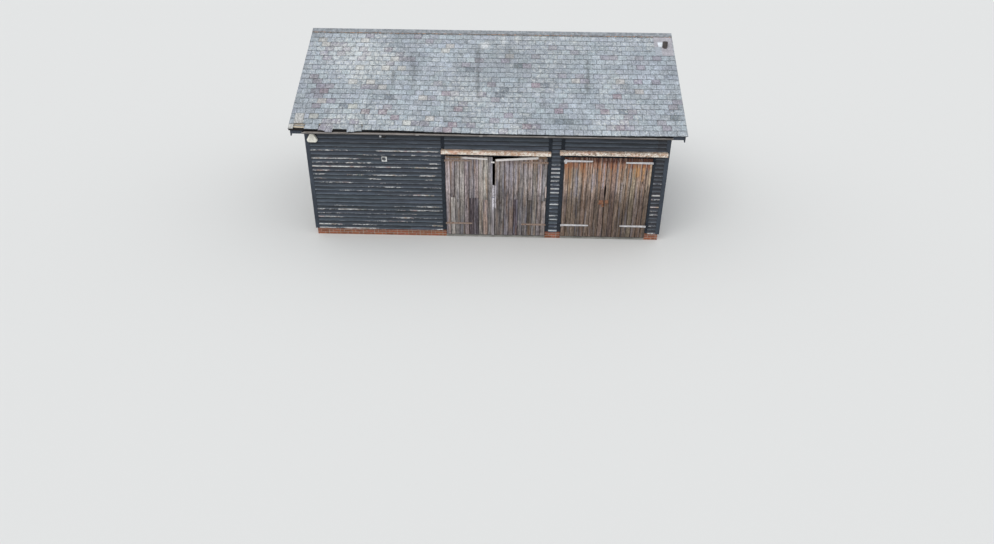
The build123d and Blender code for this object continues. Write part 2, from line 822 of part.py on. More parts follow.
# Hasp on the right bay's left leaf, and the padlock that hangs from its staple
hasp_tip = lock_free - hasp_setback
shackle_x = hasp_tip - padlock_width / 2
padlock_y = -leaf_front - hasp_thickness - padlock_depth / 2
shackle_top = hasp_level - shackle_radius
with BuildPart() as hasp:
    with BuildSketch(Plane.XZ.offset(leaf_front)):
        with Locations((hasp_tip - hasp_length / 2, hasp_level)):
            SlotOverall(hasp_length, hasp_width)
    extrude(amount=hasp_thickness)
    with BuildSketch(Plane.XZ.offset(leaf_front + hasp_thickness)):
        with Locations((shackle_x, hasp_level)):
            Rectangle(staple_width, staple_height)
    extrude(amount=staple_reach)
    with BuildSketch(Plane.XZ.offset(-padlock_y - padlock_depth / 2)) as padlock_outline:
        with Locations((shackle_x, shackle_top - shackle_leg)):
            below = (Align.CENTER, Align.MAX)
            Rectangle(padlock_width, padlock_height, align=below)
        fillet(padlock_outline.vertices(), radius=padlock_rounding)
    extrude(amount=padlock_depth)
    with BuildLine(Plane.XZ.offset(-padlock_y)) as shackle_path:
        left_leg, right_leg = shackle_x - shackle_radius, shackle_x + shackle_radius
        leg_foot = shackle_top - shackle_leg - padlock_rounding
        Line((left_leg, leg_foot), (left_leg, shackle_top))
        ThreePointArc((left_leg, shackle_top), (shackle_x, hasp_level), (right_leg, shackle_top))
        Line((right_leg, shackle_top), (right_leg, leg_foot))
    with BuildSketch(Plane(origin=shackle_path.line @ 0, z_dir=shackle_path.line % 0)):
        Circle(shackle_wire)
    sweep(path=shackle_path.line)
keep(hasp, "hasp_and_padlock")

# Alarm bell box under the eaves at the left corner
with BuildPart() as alarm_box:
    with BuildSketch(Plane.XZ.offset(wall_y)) as alarm_outline:
        with Locations((alarm_inset - wall_x, eaves_height - alarm_drop)):
            RegularPolygon(radius=alarm_radius, side_count=3, rotation=90)
        fillet(alarm_outline.vertices(), radius=alarm_rounding)
    extrude(amount=alarm_depth)
    fillet(alarm_box.faces().sort_by(Axis.Y)[0].edges(), radius=alarm_edge)
keep(alarm_box, "alarm_box")

# Small lamp under the gutter: plate, arm, head, and the sensor beside the head
lamp_x = lamp_inset - wall_x
lamp_z = eaves_height - lamp_drop
head_x = lamp_x + lamp_head_offset
head_back = wall_y + lamp_plate_thickness + lamp_arm[1]
with BuildPart() as wall_lamp:
    with BuildSketch(Plane.XZ.offset(wall_y)):
        with Locations((lamp_x, lamp_z)):
            Rectangle(lamp_plate_width, board_exposure + lamp_plate_lap)
    extrude(amount=lamp_plate_thickness)
    with BuildSketch(Plane.XZ.offset(wall_y + lamp_plate_thickness)):
        with Locations((lamp_x, lamp_z)):
            Rectangle(lamp_arm[0], lamp_arm[0])
    extrude(amount=lamp_arm[1])
    with BuildSketch(Plane.XZ.offset(head_back)):
        with Locations((head_x, lamp_z)):
            RectangleRounded(lamp_head[0], lamp_head[2], lamp_head_rounding)
        with Locations((lamp_x - sensor_offset, lamp_z)):
            Circle(sensor_radius)
        with Locations(((head_x + lamp_x - sensor_offset) / 2, lamp_z)):
            Rectangle(head_x - lamp_x + sensor_offset, lamp_arm[0])
    extrude(amount=lamp_head[1])
keep(wall_lamp, "wall_lamp")

# Square vent with a round hole
with BuildPart() as wall_vent:
    with BuildSketch(Plane.XZ.offset(wall_y)):
        with Locations((vent_inset - wall_x, eaves_height - vent_drop)):
            Rectangle(*vent_plate)
            Circle(vent_hole_radius, mode=Mode.SUBTRACT)
    extrude(amount=vent_plate_thickness)
keep(wall_vent, "wall_vent")

# Vent pipe near the right end of the ridge, cut to the slope, with its lead flashing
pipe_x = roof_half - pipe_inset
pipe_y, pipe_foot = on_slope(-1, slope_length - pipe_below_ridge, 0)
pipe_top = pipe_foot + pipe_height
flashing_head = slope_length - flashing_below_ridge
with BuildPart() as roof_vent:
    with BuildSketch(Plane.XY.offset(pipe_foot - pipe_radius)):
        with Locations((pipe_x, pipe_y)):
            Circle(pipe_radius)
    extrude(amount=pipe_radius + pipe_height)
    with BuildSketch(Plane.XY.offset(pipe_top)):
        with Locations((pipe_x, pipe_y)):
            Circle(pipe_bore)
    extrude(amount=-pipe_bore_depth, mode=Mode.SUBTRACT)
    with BuildSketch(Plane.YZ.offset(pipe_x - flashing_width)):
        Polygon(
            on_slope(-1, 0, 0),
            on_slope(-1, slope_length, 0),
            (0, eaves_height),
            align=None,
        )
    extrude(amount=2 * flashing_width, mode=Mode.SUBTRACT)
    with BuildSketch(Plane.YZ.offset(roof_half - flashing_inset - flashing_width)):
        flashing_foot = flashing_head - flashing_length
        flashing = slope_patch(-1, flashing_foot, flashing_head, -flashing_thickness, 0)
        Polygon(*flashing, align=None)
    extrude(amount=flashing_width)
keep(roof_vent, "roof_vent")
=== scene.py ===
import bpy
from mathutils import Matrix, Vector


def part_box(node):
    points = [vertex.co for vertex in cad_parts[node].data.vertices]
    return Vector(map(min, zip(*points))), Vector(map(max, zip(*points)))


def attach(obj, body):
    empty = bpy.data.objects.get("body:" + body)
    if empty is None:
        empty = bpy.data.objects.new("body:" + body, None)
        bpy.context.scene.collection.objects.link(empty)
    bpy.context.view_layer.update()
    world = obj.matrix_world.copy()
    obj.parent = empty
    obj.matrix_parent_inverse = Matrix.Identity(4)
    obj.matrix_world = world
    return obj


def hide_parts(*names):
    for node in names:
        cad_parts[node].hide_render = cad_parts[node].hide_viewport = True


bl_info = {
    "name": "Boarded barn",
    "version": (1, 0, 0),
    "blender": (4, 5, 0),
    "location": "3D View > Sidebar > Barn",
    "description": "Slates, boards, doors, bricks and finishes over the barn's frame",
    "category": "Object",
}

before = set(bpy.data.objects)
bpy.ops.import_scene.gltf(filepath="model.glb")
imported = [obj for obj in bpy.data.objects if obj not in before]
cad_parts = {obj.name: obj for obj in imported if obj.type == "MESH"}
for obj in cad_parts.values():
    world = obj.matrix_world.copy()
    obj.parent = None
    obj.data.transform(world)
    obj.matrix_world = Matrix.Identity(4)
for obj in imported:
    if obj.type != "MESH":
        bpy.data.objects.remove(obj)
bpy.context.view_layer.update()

import math
import random

import bmesh
import bpy
from bpy.props import FloatProperty, FloatVectorProperty, PointerProperty
from bpy.types import Operator, Panel, PropertyGroup
from mathutils import Matrix, Vector, noise

# Corners taken from the frame, in metres
SLATES_LOW, SLATES_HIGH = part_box("slates_front")
WALLS_LOW, WALLS_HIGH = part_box("corner_boards")

# Slopes of the roof: pitch, depth of slates and courses, and how far each course steps out
SLOPE = math.radians(27.3)
SLATES_DEPTH = 0.020
COURSES = 21
SLATE_STEP = 0.008
ROOF_HALF = SLATES_HIGH.x
HALF_RUN = -SLATES_LOW.y
EAVES_Z = SLATES_LOW.z + SLATES_DEPTH * math.cos(SLOPE)
SLOPE_LENGTH = HALF_RUN / math.cos(SLOPE)
GAUGE = SLOPE_LENGTH / COURSES
SLATE_LENGTH = 2.05 * GAUGE

# Gaps under the ridge and at the eaves, depth of the doubled eaves course, and of the gables' tops
TOP_GAP = 0.004
EAVES_GAP = 0.004
EAVES_DEPTH = 0.0085
GABLE_DEPTH = 0.048

# Lapped boards: how much of each shows, its height, depth of them all, and a board's lower edge
BOARD_BASE = WALLS_LOW.z
EXPOSURE = 0.120
BOARD_HEIGHT = 0.150
BOARDING_DEPTH = 0.040
BUTT = 0.022
BOARD_GAP = 0.0012
BACK_TAPER = 0.037
THINNEST = 0.001
BOARD_CUT = 0.15
WALL_X = WALLS_HIGH.x
WALL_Y = WALLS_HIGH.y
FACE_X = WALL_X - BOARDING_DEPTH
FACE_Y = WALL_Y - BOARDING_DEPTH
CORNER_BOARD = 0.115

# Doorways, the pier between them, and the outer face of the doors
LEFT_JAMB = -1.189
PIER = (1.700, 2.150)
RIGHT_JAMB = 4.620
DOOR_FACE = -3.537

# Middle line of the half-round gutters, and their inner radius
GUTTER_Y = 3.7675
GUTTER_Z = 3.220
GUTTER_RADIUS = 0.0603

# Middle line of the pipe through the roof
PIPE_X = 5.168
PIPE_Y = -0.542

# Seeds of the random draws
SLATE_SEED = 71
FRONT_SEED = 11
BACK_SEED = 31
GABLE_SEEDS = {"left": 41, "right": 43}
DOOR_SEED = 101
BRICK_SEED = 211


def shade(red, green, blue):
    """Linear colour from the 0 to 255 values of a paint chart."""
    linear = []
    for value in (red, green, blue):
        value /= 255
        linear.append(value / 12.92 if value <= 0.04045 else ((value + 0.055) / 1.055) ** 2.4)
    return (*linear, 1.0)


def colour_of(label, red, green, blue):
    """A colour that a user may change."""
    return FloatVectorProperty(
        name=label, description=f"Colour of the {label.lower()}",
        default=shade(red, green, blue)[:3], subtype="COLOR", size=3, min=0, max=1,
    )


def length_of(label, metres):
    """A length that a user may change."""
    return FloatProperty(
        name=label, description=f"{label}, in metres", default=metres, unit="LENGTH", min=0,
    )


class RoofSettings(PropertyGroup):
    """Slates and ridge tiles."""
    slate_width: length_of("Slate width", 0.254)
    slate_joint: length_of("Joint between slates", 0.004)
    slate_thickness: length_of("Slate thickness", 0.006)
    slate: colour_of("Slates", 162, 170, 178)
    purple_slate: colour_of("Purple slates", 150, 140, 149)
    dull_slate: colour_of("Dull purple slates", 150, 149, 159)
    dark_slate: colour_of("Dark slates", 122, 130, 138)
    pale_slate: colour_of("Lichened slates", 180, 180, 178)
    lichen: colour_of("Lichen", 216, 218, 214)
    grime: colour_of("Grime", 84, 87, 88)
    ridge_clay: colour_of("Ridge tiles", 142, 147, 152)
    mortar: colour_of("Ridge mortar", 120, 108, 96)
    moss: colour_of("Moss", 146, 92, 56)


class BoardingSettings(PropertyGroup):
    """Lapped boards and posts of the walls."""
    longest_board: length_of("Longest board", 4.2)
    shortest_board: length_of("Shortest board", 2.4)
    paint: colour_of("Black paint", 61, 69, 80)
    worn_white: colour_of("Bleached wood", 226, 226, 224)
    worn_tan: colour_of("Bare wood", 190, 168, 148)
    worn_rose: colour_of("Undercoat", 182, 158, 158)
    worn_green: colour_of("Mildew", 150, 168, 160)
    inside_timber: colour_of("Timber inside", 128, 104, 82)
    batten: colour_of("Battens", 204, 192, 172)


class DoorSettings(PropertyGroup):
    """Door leaves, lintels and ironwork."""
    board_width: length_of("Door board width", 0.132)
    board_joint: length_of("Joint between door boards", 0.006)
    grey_boards: colour_of("Left bay boards", 150, 142, 140)
    brown_boards: colour_of("Right bay boards", 146, 129, 116)
    top_board: colour_of("Whitish top boards", 236, 232, 228)
    lintel: colour_of("Lintel paint", 228, 214, 198)
    rust: colour_of("Rust", 118, 84, 62)
    zinc: colour_of("Zinc coating", 214, 212, 214)


class FittingSettings(PropertyGroup):
    """Gutters, bricks and small fittings."""
    gutter: colour_of("Gutter", 62, 62, 64)
    gutter_front: colour_of("Gutter front", 136, 130, 126)
    # The lip's colour also paints the highlight along the gutter's lip.
    gutter_lip: colour_of("Gutter lip", 176, 173, 170)
    brick: colour_of("Bricks", 150, 96, 74)
    mortar: colour_of("Brick mortar", 170, 162, 150)
    concrete: colour_of("Concrete", 150, 148, 142)
    cream: colour_of("Alarm box", 252, 249, 236)
    white: colour_of("Lamp", 224, 224, 222)
    lead: colour_of("Lead sheet", 168, 166, 172)
    pipe_clay: colour_of("Roof pipe", 84, 78, 76)


class StageSettings(PropertyGroup):
    """Floor, light and camera."""
    floor: colour_of("Floor", 214, 214, 212)
    floor_size: length_of("Floor size", 300)
    sky_strength: FloatProperty(name="Sky", description="Strength of the sky", default=1.0, min=0)
    sun_strength: FloatProperty(name="Sun", description="Strength of the sun", default=0.9, min=0)
    lens: FloatProperty(name="Lens", description="Focal length, in millimetres", default=25.728, min=1)


class Finish:
    """One material's node tree, built round its Principled shader."""

    def __init__(self, name, roughness, metallic=0.0, specular=0.35):
        self.material = bpy.data.materials.new(name)
        self.material.use_nodes = True
        self.tree = self.material.node_tree
        self.shader = self.tree.nodes["Principled BSDF"]
        self.shader.inputs["Roughness"].default_value = roughness
        self.shader.inputs["Metallic"].default_value = metallic
        self.shader.inputs["Specular IOR Level"].default_value = specular
        self.place = self.node("ShaderNodeTexCoord").outputs["Object"]
        self.x, self.y, self.z = self.parts(self.place)

    def node(self, kind, inputs=(), **settings):
        """A new node with its settings, and its inputs fed or set."""
        made = self.tree.nodes.new(kind)
        for name, value in settings.items():
            setattr(made, name, value)
        for socket, value in dict(inputs).items():
            self.feed(made.inputs[socket], value)
        return made

    def feed(self, socket, value):
        """Links a socket to an output, or sets its value."""
        if isinstance(value, bpy.types.NodeSocket):
            self.tree.links.new(value, socket)
        else:
            socket.default_value = value

    def parts(self, vector):
        """X, Y and Z of a vector."""
        return tuple(self.node("ShaderNodeSeparateXYZ", {0: vector}).outputs)

    def maths(self, operation, first, second=0.0):
        """One sum."""
        return self.node("ShaderNodeMath", {0: first, 1: second}, operation=operation).outputs[0]

    def away(self, value, middle=0.0):
        """How far a value is from a middle, on either side."""
        if middle != 0.0:
            value = self.maths("SUBTRACT", value, middle)
        return self.maths("ABSOLUTE", value)

    def radius(self, *offsets):
        """Distance from an axis, of offsets across it."""
        offset = self.node("ShaderNodeCombineXYZ", dict(enumerate(offsets))).outputs[0]
        return self.node("ShaderNodeVectorMath", {0: offset}, operation="LENGTH").outputs["Value"]

    def product(self, *values):
        """Values multiplied together."""
        result = values[0]
        for value in values[1:]:
            result = self.maths("MULTIPLY", result, value)
        return result

    def step(self, value, low, high):
        """0 at low and 1 at high, smooth between them; low may be the greater."""
        inputs = {"Value": value, "From Min": low, "From Max": high}
        return self.node("ShaderNodeMapRange", inputs, interpolation_type="SMOOTHSTEP").outputs[0]

    def spread(self, value, low, high):
        """A 0 to 1 value spread over another range."""
        return self.node("ShaderNodeMapRange", {"Value": value, "To Min": low, "To Max": high}).outputs[0]

    def window(self, value, low, high, soft):
        """1 between two values, fading out over a soft edge at each."""
        rise = self.step(value, low - soft, low + soft)
        return self.maths("MULTIPLY", rise, self.step(value, high + soft, high - soft))

    def stretched(self, scale, seed=None):
        """Coordinates scaled along each axis and shifted by a piece's own random number."""
        vector = self.node("ShaderNodeMapping", {"Vector": self.place, "Scale": scale}).outputs[0]
        if seed is None:
            return vector
        shift = [self.maths("MULTIPLY", seed, amount) for amount in (61.0, 37.0, 83.0)]
        offset = self.node("ShaderNodeCombineXYZ", dict(enumerate(shift))).outputs[0]
        return self.node("ShaderNodeVectorMath", {0: vector, 1: offset}, operation="ADD").outputs[0]

    def noise(self, scale, seed=None, detail=3.0, roughness=0.55, distortion=0.0):
        """Noise of so many features a metre, one number or one for each axis."""
        if isinstance(scale, (int, float)):
            scale = (scale, scale, scale)
        inputs = {
            "Vector": self.stretched(scale, seed), "Scale": 1.0, "Detail": detail,
            "Roughness": roughness, "Distortion": distortion,
        }
        return self.node("ShaderNodeTexNoise", inputs).outputs[0]

    def cells(self, scale, seed=None):
        """Distance from the nearest of scattered points."""
        inputs = {"Vector": self.stretched(scale, seed), "Scale": 1.0}
        return self.node("ShaderNodeTexVoronoi", inputs).outputs["Distance"]

    def mix(self, factor, under, over, blend="MIX"):
        """One colour over another."""
        inputs = {0: factor, 6: under, 7: over}
        return self.node("ShaderNodeMix", inputs, data_type="RGBA", blend_type=blend).outputs[2]

    def laid(self, under, over, *shares):
        """One colour laid over another, by shares that are multiplied together."""
        return self.mix(self.product(*shares), under, over)

    def shaded(self, colour, value, low, high):
        """A colour multiplied by a grey between two levels."""
        level = self.spread(value, low, high)
        grey_level = self.node("ShaderNodeCombineColor", {0: level, 1: level, 2: level}).outputs[0]
        return self.mix(1.0, colour, grey_level, "MULTIPLY")

    def clouded(self, colour, value, start, end, low, high):
        """A colour times a grey that goes from low to high while a value goes from start to end."""
        return self.shaded(colour, self.step(value, start, end), low, high)

    def ramp(self, value, *stops):
        """Colours at rising positions along a value."""
        node = self.node("ShaderNodeValToRGB", {"Fac": value})
        elements = node.color_ramp.elements
        elements[0].position, elements[0].color = stops[0]
        elements[1].position, elements[1].color = stops[-1]
        for position, colour in stops[1:-1]:
            elements.new(position).color = colour
        return node.outputs[0]

    def tone(self):
        """Colour and random number that each slate, board or brick carries."""
        attribute = self.node("ShaderNodeAttribute", attribute_name="tone")
        return attribute.outputs["Color"], attribute.outputs["Alpha"]

    def across_and_up(self, layer):
        """Place across and up a slate or a board, from the coordinates that it carries."""
        return self.parts(self.node("ShaderNodeUVMap", uv_map=layer).outputs[0])[:2]

    def bump(self, height, distance):
        """Relief so many metres deep."""
        inputs = {"Height": height, "Distance": distance, "Strength": 1.0}
        self.feed(self.shader.inputs["Normal"], self.node("ShaderNodeBump", inputs).outputs[0])

    def done(self, colour):
        """The material, with its colour."""
        self.feed(self.shader.inputs["Base Color"], colour)
        return self.material


def four(colour):
    """A colour with its alpha."""
    return (*colour[:3], 1.0)


def varied(rng, colour, spread, drift=0.02):
    """A colour made lighter or darker by chance, with its channels a little apart."""
    level = 1 + rng.uniform(-spread, spread)
    return [channel * level * (1 + rng.uniform(-drift, drift)) for channel in colour[:3]]


def give_tone(bm, verts, colour, seed):
    """Gives each vertex its piece's colour and random number."""
    layer = bm.verts.layers.float_color["tone"]
    for vert in verts:
        vert[layer] = (*colour[:3], seed)


def block(bm, low, high, turn=None):
    """A box between two corners, turned about its middle."""
    low, high = Vector(low), Vector(high)
    place = Matrix.Translation((low + high) / 2)
    if turn is not None:
        place = place @ turn
    size = Matrix.Diagonal((*(high - low), 1))
    return bmesh.ops.create_cube(bm, size=1, matrix=place @ size)["verts"]


def soften(bm, edges, width, segments=1):
    """Rounds edges over."""
    bmesh.ops.bevel(
        bm, geom=edges, offset=width, segments=segments, profile=0.5,
        affect="EDGES", material=-1, clamp_overlap=True,
    )


def edges_among(verts):
    """Edges that join vertices of a set."""
    chosen = set(verts)
    return [edge for edge in {e for v in chosen for e in v.link_edges}
            if edge.verts[0] in chosen and edge.verts[1] in chosen]


def long_edges(verts, axis, length):
    """Edges that join vertices of a set and reach further than a length along one axis."""
    return [edge for edge in edges_among(verts)
            if abs(edge.verts[0].co[axis] - edge.verts[1].co[axis]) > length]


def arrises(bm, angle=1.2):
    """Edges where faces meet at more than an angle, in radians."""
    return [edge for edge in bm.edges if edge.calc_face_angle(0) > angle]


def corners_of(verts):
    """Corners of all faces that touch vertices of a set."""
    faces = {face for vert in verts for face in vert.link_faces}
    return [corner for face in faces for corner in face.loops]


def divide(bm, edges, cuts):
    """Cuts edges into equal parts, across the faces between them."""
    bmesh.ops.subdivide_edges(bm, edges=edges, cuts=cuts, use_grid_fill=True)


def newest(bm, before):
    """Vertices made since the bmesh had so many."""
    bm.verts.ensure_lookup_table()
    return bm.verts[before:]


def piece(bm, name, material, body="barn", replaces=(), smooth=None):
    """Object of a finished bmesh, riding on a body."""
    mesh = bpy.data.meshes.new(name)
    bm.to_mesh(mesh)
    bm.free()
    mesh.materials.append(material)
    if smooth is not None:
        mesh.shade_smooth()
        mesh.set_sharp_from_angle(angle=math.radians(smooth))
    made = bpy.data.objects.new(name, mesh)
    bpy.context.scene.collection.objects.link(made)
    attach(made, body)
    if replaces:
        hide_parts(*replaces)


def coat(material, *nodes):
    """Gives CAD nodes a material."""
    for name in nodes:
        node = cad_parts[name]
        if not node.material_slots:
            raise RuntimeError(f"{name} has no material slot")
        for slot in node.material_slots:
            slot.material = material


def slope_frame(side):
    """Along the eaves, up the slope and out of it, for the front (-1) or the back (1)."""
    return Matrix((
        (-side, 0, 0, 0),
        (0, -side * math.cos(SLOPE), side * math.sin(SLOPE), side * HALF_RUN),
        (0, math.sin(SLOPE), math.cos(SLOPE), EAVES_Z),
        (0, 0, 0, 1),
    ))


def slope_y(distance):
    """Y of a place so far up the front slope."""
    return distance * math.cos(SLOPE) - HALF_RUN


def wall_frame(name):
    """Along a wall to the right as seen from outside, up it, and out of it."""
    along, out, start = {
        "front": ((1, 0, 0), (0, -1, 0), (0, -FACE_Y, 0)),
        "back": ((-1, 0, 0), (0, 1, 0), (0, FACE_Y, 0)),
        "left": ((0, -1, 0), (-1, 0, 0), (-FACE_X, 0, 0)),
        "right": ((0, 1, 0), (1, 0, 0), (FACE_X, 0, 0)),
    }[name]
    columns = (*along, 0), (0, 0, 1, 0), (*out, 0), (*start, 1)
    return Matrix(columns).transposed()


# Slates of the front slope that differ from the rest, as (course, X)
PURPLE = (
    (0, -1.1), (1, -0.9), (1, 1.1), (1, 3.6), (2, -2.6), (3, -3.4), (3, -2.9), (4, -0.8), (4, 1.9),
    (4, 3.2), (7, -4.6), (7, -1.1), (7, 3.6), (9, 1.35),
)
DULL = (
    (0, -4.3), (1, -4.4), (1, -4.2), (1, -2.0), (1, -1.7), (1, 1.3), (2, 0.15), (3, 0.6),
    (3, 3.9), (4, -4.8), (4, -2.8), (4, 4.0), (6, -4.8), (6, 5.3), (8, -4.8), (10, -5.0),
    (11, 2.1), (13, -2.85), (14, -3.7), (15, -5.0), (15, -4.3), (15, -2.7), (15, 3.4), (15, 3.65),
    (15, 1.4), (17, -4.6), (17, 1.8), (13, 1.1),
)
DARK = (
    (2, 1.95), (2, 2.2), (3, 5.2), (4, -4.0), (4, 3.8), (6, -2.85), (7, 0.4), (8, 0.45), (9, 1.6),
    (12, -0.6), (13, 0.9),
)
PALE = (
    (1, -5.2), (2, -1.6), (4, -3.7), (5, -4.6), (6, -1.8), (8, -3.1), (8, 4.3), (9, -4.0),
    (10, 2.5), (12, -3.0), (14, -2.7), (16, -1.4), (17, -4.8), (17, -1.1), (18, -3.7),
)
# The setting that holds the colour of each kind, and how far single slates vary from it
MARKED_SLATES = (
    ("purple_slate", 0.06, PURPLE), ("dull_slate", 0.06, DULL), ("dark_slate", 0.06, DARK),
    ("pale_slate", 0.05, PALE),
)
# Slates of the broken end of the eaves: left and right edge, slip down the slope, turn in degrees
BROKEN_EAVES = (
    (-5.426, -5.285, 0.000, 0.0), (-4.985, -4.792, 0.000, 0.0), (-4.792, -4.600, 0.004, 0.5),
    (-4.600, -4.405, 0.052, -10.0), (-4.405, -4.210, 0.112, -9.0), (-4.210, -4.000, 0.000, 0.3),
    (-4.000, -3.800, 0.000, 0.0), (-3.800, -3.600, 0.098, 9.0), (-3.600, -3.400, 0.054, 9.0),
)
BROKEN_EAVES_END = -3.400
# The slate that has come loose: its course, a place on it, its depth and its turn in degrees
LOOSE_SLATE = (1, -5.150, -0.014, 1.8)
# How far the joints stray from an even bond, and from which X and over what length they begin to
BOND_DRIFT = 0.100
DRIFT_START = -3.3
DRIFT_LENGTH = 1.5
# How far the foot of the slope strays up it, at places along the eaves
EAVES_LINE = (
    (-5.43, 0.066), (-4.80, 0.075), (-4.00, 0.088), (-3.20, 0.072), (-2.20, 0.068), (-1.50, 0.036),
    (-0.70, 0.020), (0.10, 0.002), (3.20, 0.000), (5.43, 0.030),
)
# White splashes near the ridge: left, right, and lowest and highest distance up the slope
SPLASHES = ((-0.30, -0.06, 3.48, 3.74), (0.33, 0.43, 3.70, 4.02), (0.72, 0.82, 3.86, 4.02))
# Dark runs down the front slope: X and distance up it at the top, the same at the bottom,
# half width and strength
RUNS = (
    (-0.38, 3.48, -0.30, 1.25, 0.120, 0.55), (2.86, 3.03, 2.80, 1.68, 0.110, 0.60),
    (0.85, 2.25, 0.87, 1.20, 0.080, 0.40), (-2.79, 2.42, -2.73, 1.84, 0.085, 0.55),
    (-2.24, 2.91, -2.14, 1.81, 0.095, 0.50), (-1.29, 2.46, -1.14, 0.12, 0.090, 0.35),
    (0.57, 3.70, 0.55, 2.90, 0.260, 0.35),
)


def slate_finish(roof):
    """Weathered slate, each one of its own tone, with lichen, grime, dark runs, and dirt and painted
    shade at the edges.
    """
    finish = Finish("weathered_slate", roughness=0.66, specular=0.3)
    tone, seed = finish.tone()
    weather = finish.noise((1.1, 0.8, 0.8), detail=5, roughness=0.6)
    tone = finish.clouded(tone, weather, 0.32, 0.68, 0.84, 1.13)
    cloud = finish.noise(5.0, seed, detail=5, roughness=0.65)
    colour = finish.clouded(tone, cloud, 0.3, 0.7, 0.82, 1.14)
    grain = finish.noise((30.0, 20.0, 20.0), seed, detail=5, roughness=0.78)
    colour = finish.clouded(colour, grain, 0.35, 0.65, 0.61, 1.24)
    spread = finish.spread(finish.noise(0.5, detail=2), -0.16, 0.16)
    corner = finish.product(
        finish.window(finish.x, -5.1, -2.8, 0.7), finish.window(finish.y, -2.5, -0.2, 0.6), 0.035)
    region = finish.maths("ADD", spread, corner)
    patches = finish.noise(11.0, seed, detail=6, roughness=0.78)
    spotted = finish.maths("ADD", patches, region)
    lichen = finish.product(finish.step(spotted, 0.54, 0.65), 0.60)
    colour = finish.mix(lichen, colour, four(roof.lichen))
    specks = finish.maths("ADD", finish.noise(24.0, detail=4, roughness=0.8), finish.product(region, 0.8))
    colour = finish.laid(colour, four(roof.lichen), finish.step(specks, 0.57, 0.63), 0.42)
    soot = finish.product(
        finish.window(finish.x, -0.6, 2.4, 0.7), finish.window(finish.y, -2.0, -0.55, 0.45),
        finish.step(weather, 0.40, 0.60), 0.22)
    colour = finish.mix(soot, colour, four(roof.grime))
    stains = finish.noise((9.0, 5.0, 5.0), seed, detail=6, roughness=0.78)
    stained = finish.product(finish.step(stains, 0.52, 0.64), 0.48)
    colour = finish.mix(stained, colour, four(roof.grime))
    across, up = finish.across_and_up("slate")
    # Dirt and painted shade along each slate's tail and side joints.
    sides = finish.product(finish.step(finish.away(across, 0.5), 0.445, 0.495), 0.85)
    rim = finish.maths("MAXIMUM", sides, finish.step(up, 0.13, 0.0))
    rim_share = finish.step(finish.noise(15.0, seed, detail=5), 0.34, 0.62)
    colour = finish.laid(colour, shade(62, 65, 67), rim, rim_share, 0.9)
    for top_x, top, low_x, low, width, strength in RUNS:
        start, end = slope_y(low), slope_y(top)
        inputs = {"Value": finish.y, "From Min": start, "From Max": end,
                  "To Min": low_x, "To Max": top_x}
        middle_x = finish.node("ShaderNodeMapRange", inputs).outputs[0]
        line = finish.product(
            finish.step(finish.away(finish.x, middle_x), width, 0.0),
            finish.window(finish.y, start, end, 0.16), finish.step(stains, 0.30, 0.56), strength)
        colour = finish.mix(line, colour, four(roof.grime))
    for left, right, low, high in SPLASHES:
        splash = finish.product(
            finish.window(finish.x, left, right, 0.10),
            finish.window(finish.y, slope_y(low), slope_y(high), 0.12),
            finish.step(specks, 0.46, 0.53), 0.75)
        colour = finish.mix(splash, colour, shade(232, 232, 230))
    finish.bump(finish.maths("ADD", grain, finish.product(cloud, 2.0)), 0.003)
    return finish.done(colour)


def moss_finish(name, colour, roof, share, litter=0.0):
    """Weathered clay or mortar with moss, lichen and fallen leaves on it."""
    finish = Finish(name, roughness=0.9, specular=0.2)
    cloud = finish.noise(11.0, detail=6, roughness=0.7)
    shown = finish.mix(finish.step(cloud, 0.35, 0.7), four([c * 0.7 for c in colour]),
                       four([min(c * 1.3, 1) for c in colour]))
    spots = finish.noise(23.0, detail=4, roughness=0.7)
    shown = finish.mix(finish.step(spots, 0.66 - share, 0.74 - share), shown, four(roof.moss))
    flecks = finish.noise(37.0, detail=3)
    shown = finish.mix(finish.step(flecks, 0.64, 0.72), shown, four(roof.lichen))
    leaves = finish.noise(13.0, detail=5, roughness=0.7)
    shown = finish.laid(shown, shade(214, 152, 96), finish.step(leaves, 0.52, 0.58), litter)
    shown = finish.laid(shown, shade(70, 62, 58), finish.step(leaves, 0.46, 0.40), litter)
    finish.bump(cloud, 0.006)
    return finish.done(shown)


def course_edges(rng, course, width, front):
    """Left and right edge, slip and turn of each slate of a course."""
    start = -ROOF_HALF
    if front and course == 0:
        start = BROKEN_EAVES_END
    edges = [start]
    place = -ROOF_HALF + (width / 2 if course % 2 else width)
    while True:
        drift = BOND_DRIFT * min(max((place - DRIFT_START) / DRIFT_LENGTH, 0.0), 1.0)
        edge = place - drift + rng.uniform(-0.004, 0.004)
        if edge > ROOF_HALF - width / 3:
            break
        if edge > start + width / 3:
            edges.append(edge)
        place += width
    edges.append(ROOF_HALF)
    laid = [(left, right, 0.0, 0.0) for left, right in zip(edges, edges[1:])]
    return (list(BROKEN_EAVES) if start != -ROOF_HALF else []) + laid


def stray(x, low):
    """How far a slate's tail strays up the front slope from an even course."""
    for (start, first), (end, last) in zip(EAVES_LINE, EAVES_LINE[1:]):
        if x <= end:
            offset = first + (last - first) * (x - start) / (end - start)
            return offset * (1 - low / SLOPE_LENGTH) ** 1.5
    return 0.0


def slate_colour(rng, roof, course, left, right, front):
    """Colour of one slate."""
    for setting, spread, slates in MARKED_SLATES:
        if front and any(row == course and left <= x < right for row, x in slates):
            return varied(rng, getattr(roof, setting), spread)
    chance = rng.random()
    if not front and chance < 0.03:
        return varied(rng, roof.purple_slate, 0.08)
    if chance > 0.985:
        return varied(rng, roof.pale_slate, 0.08)
    if chance > (0.94 if front else 0.88):
        return varied(rng, roof.dull_slate, 0.08)
    return varied(rng, roof.slate, 0.085, 0.018)


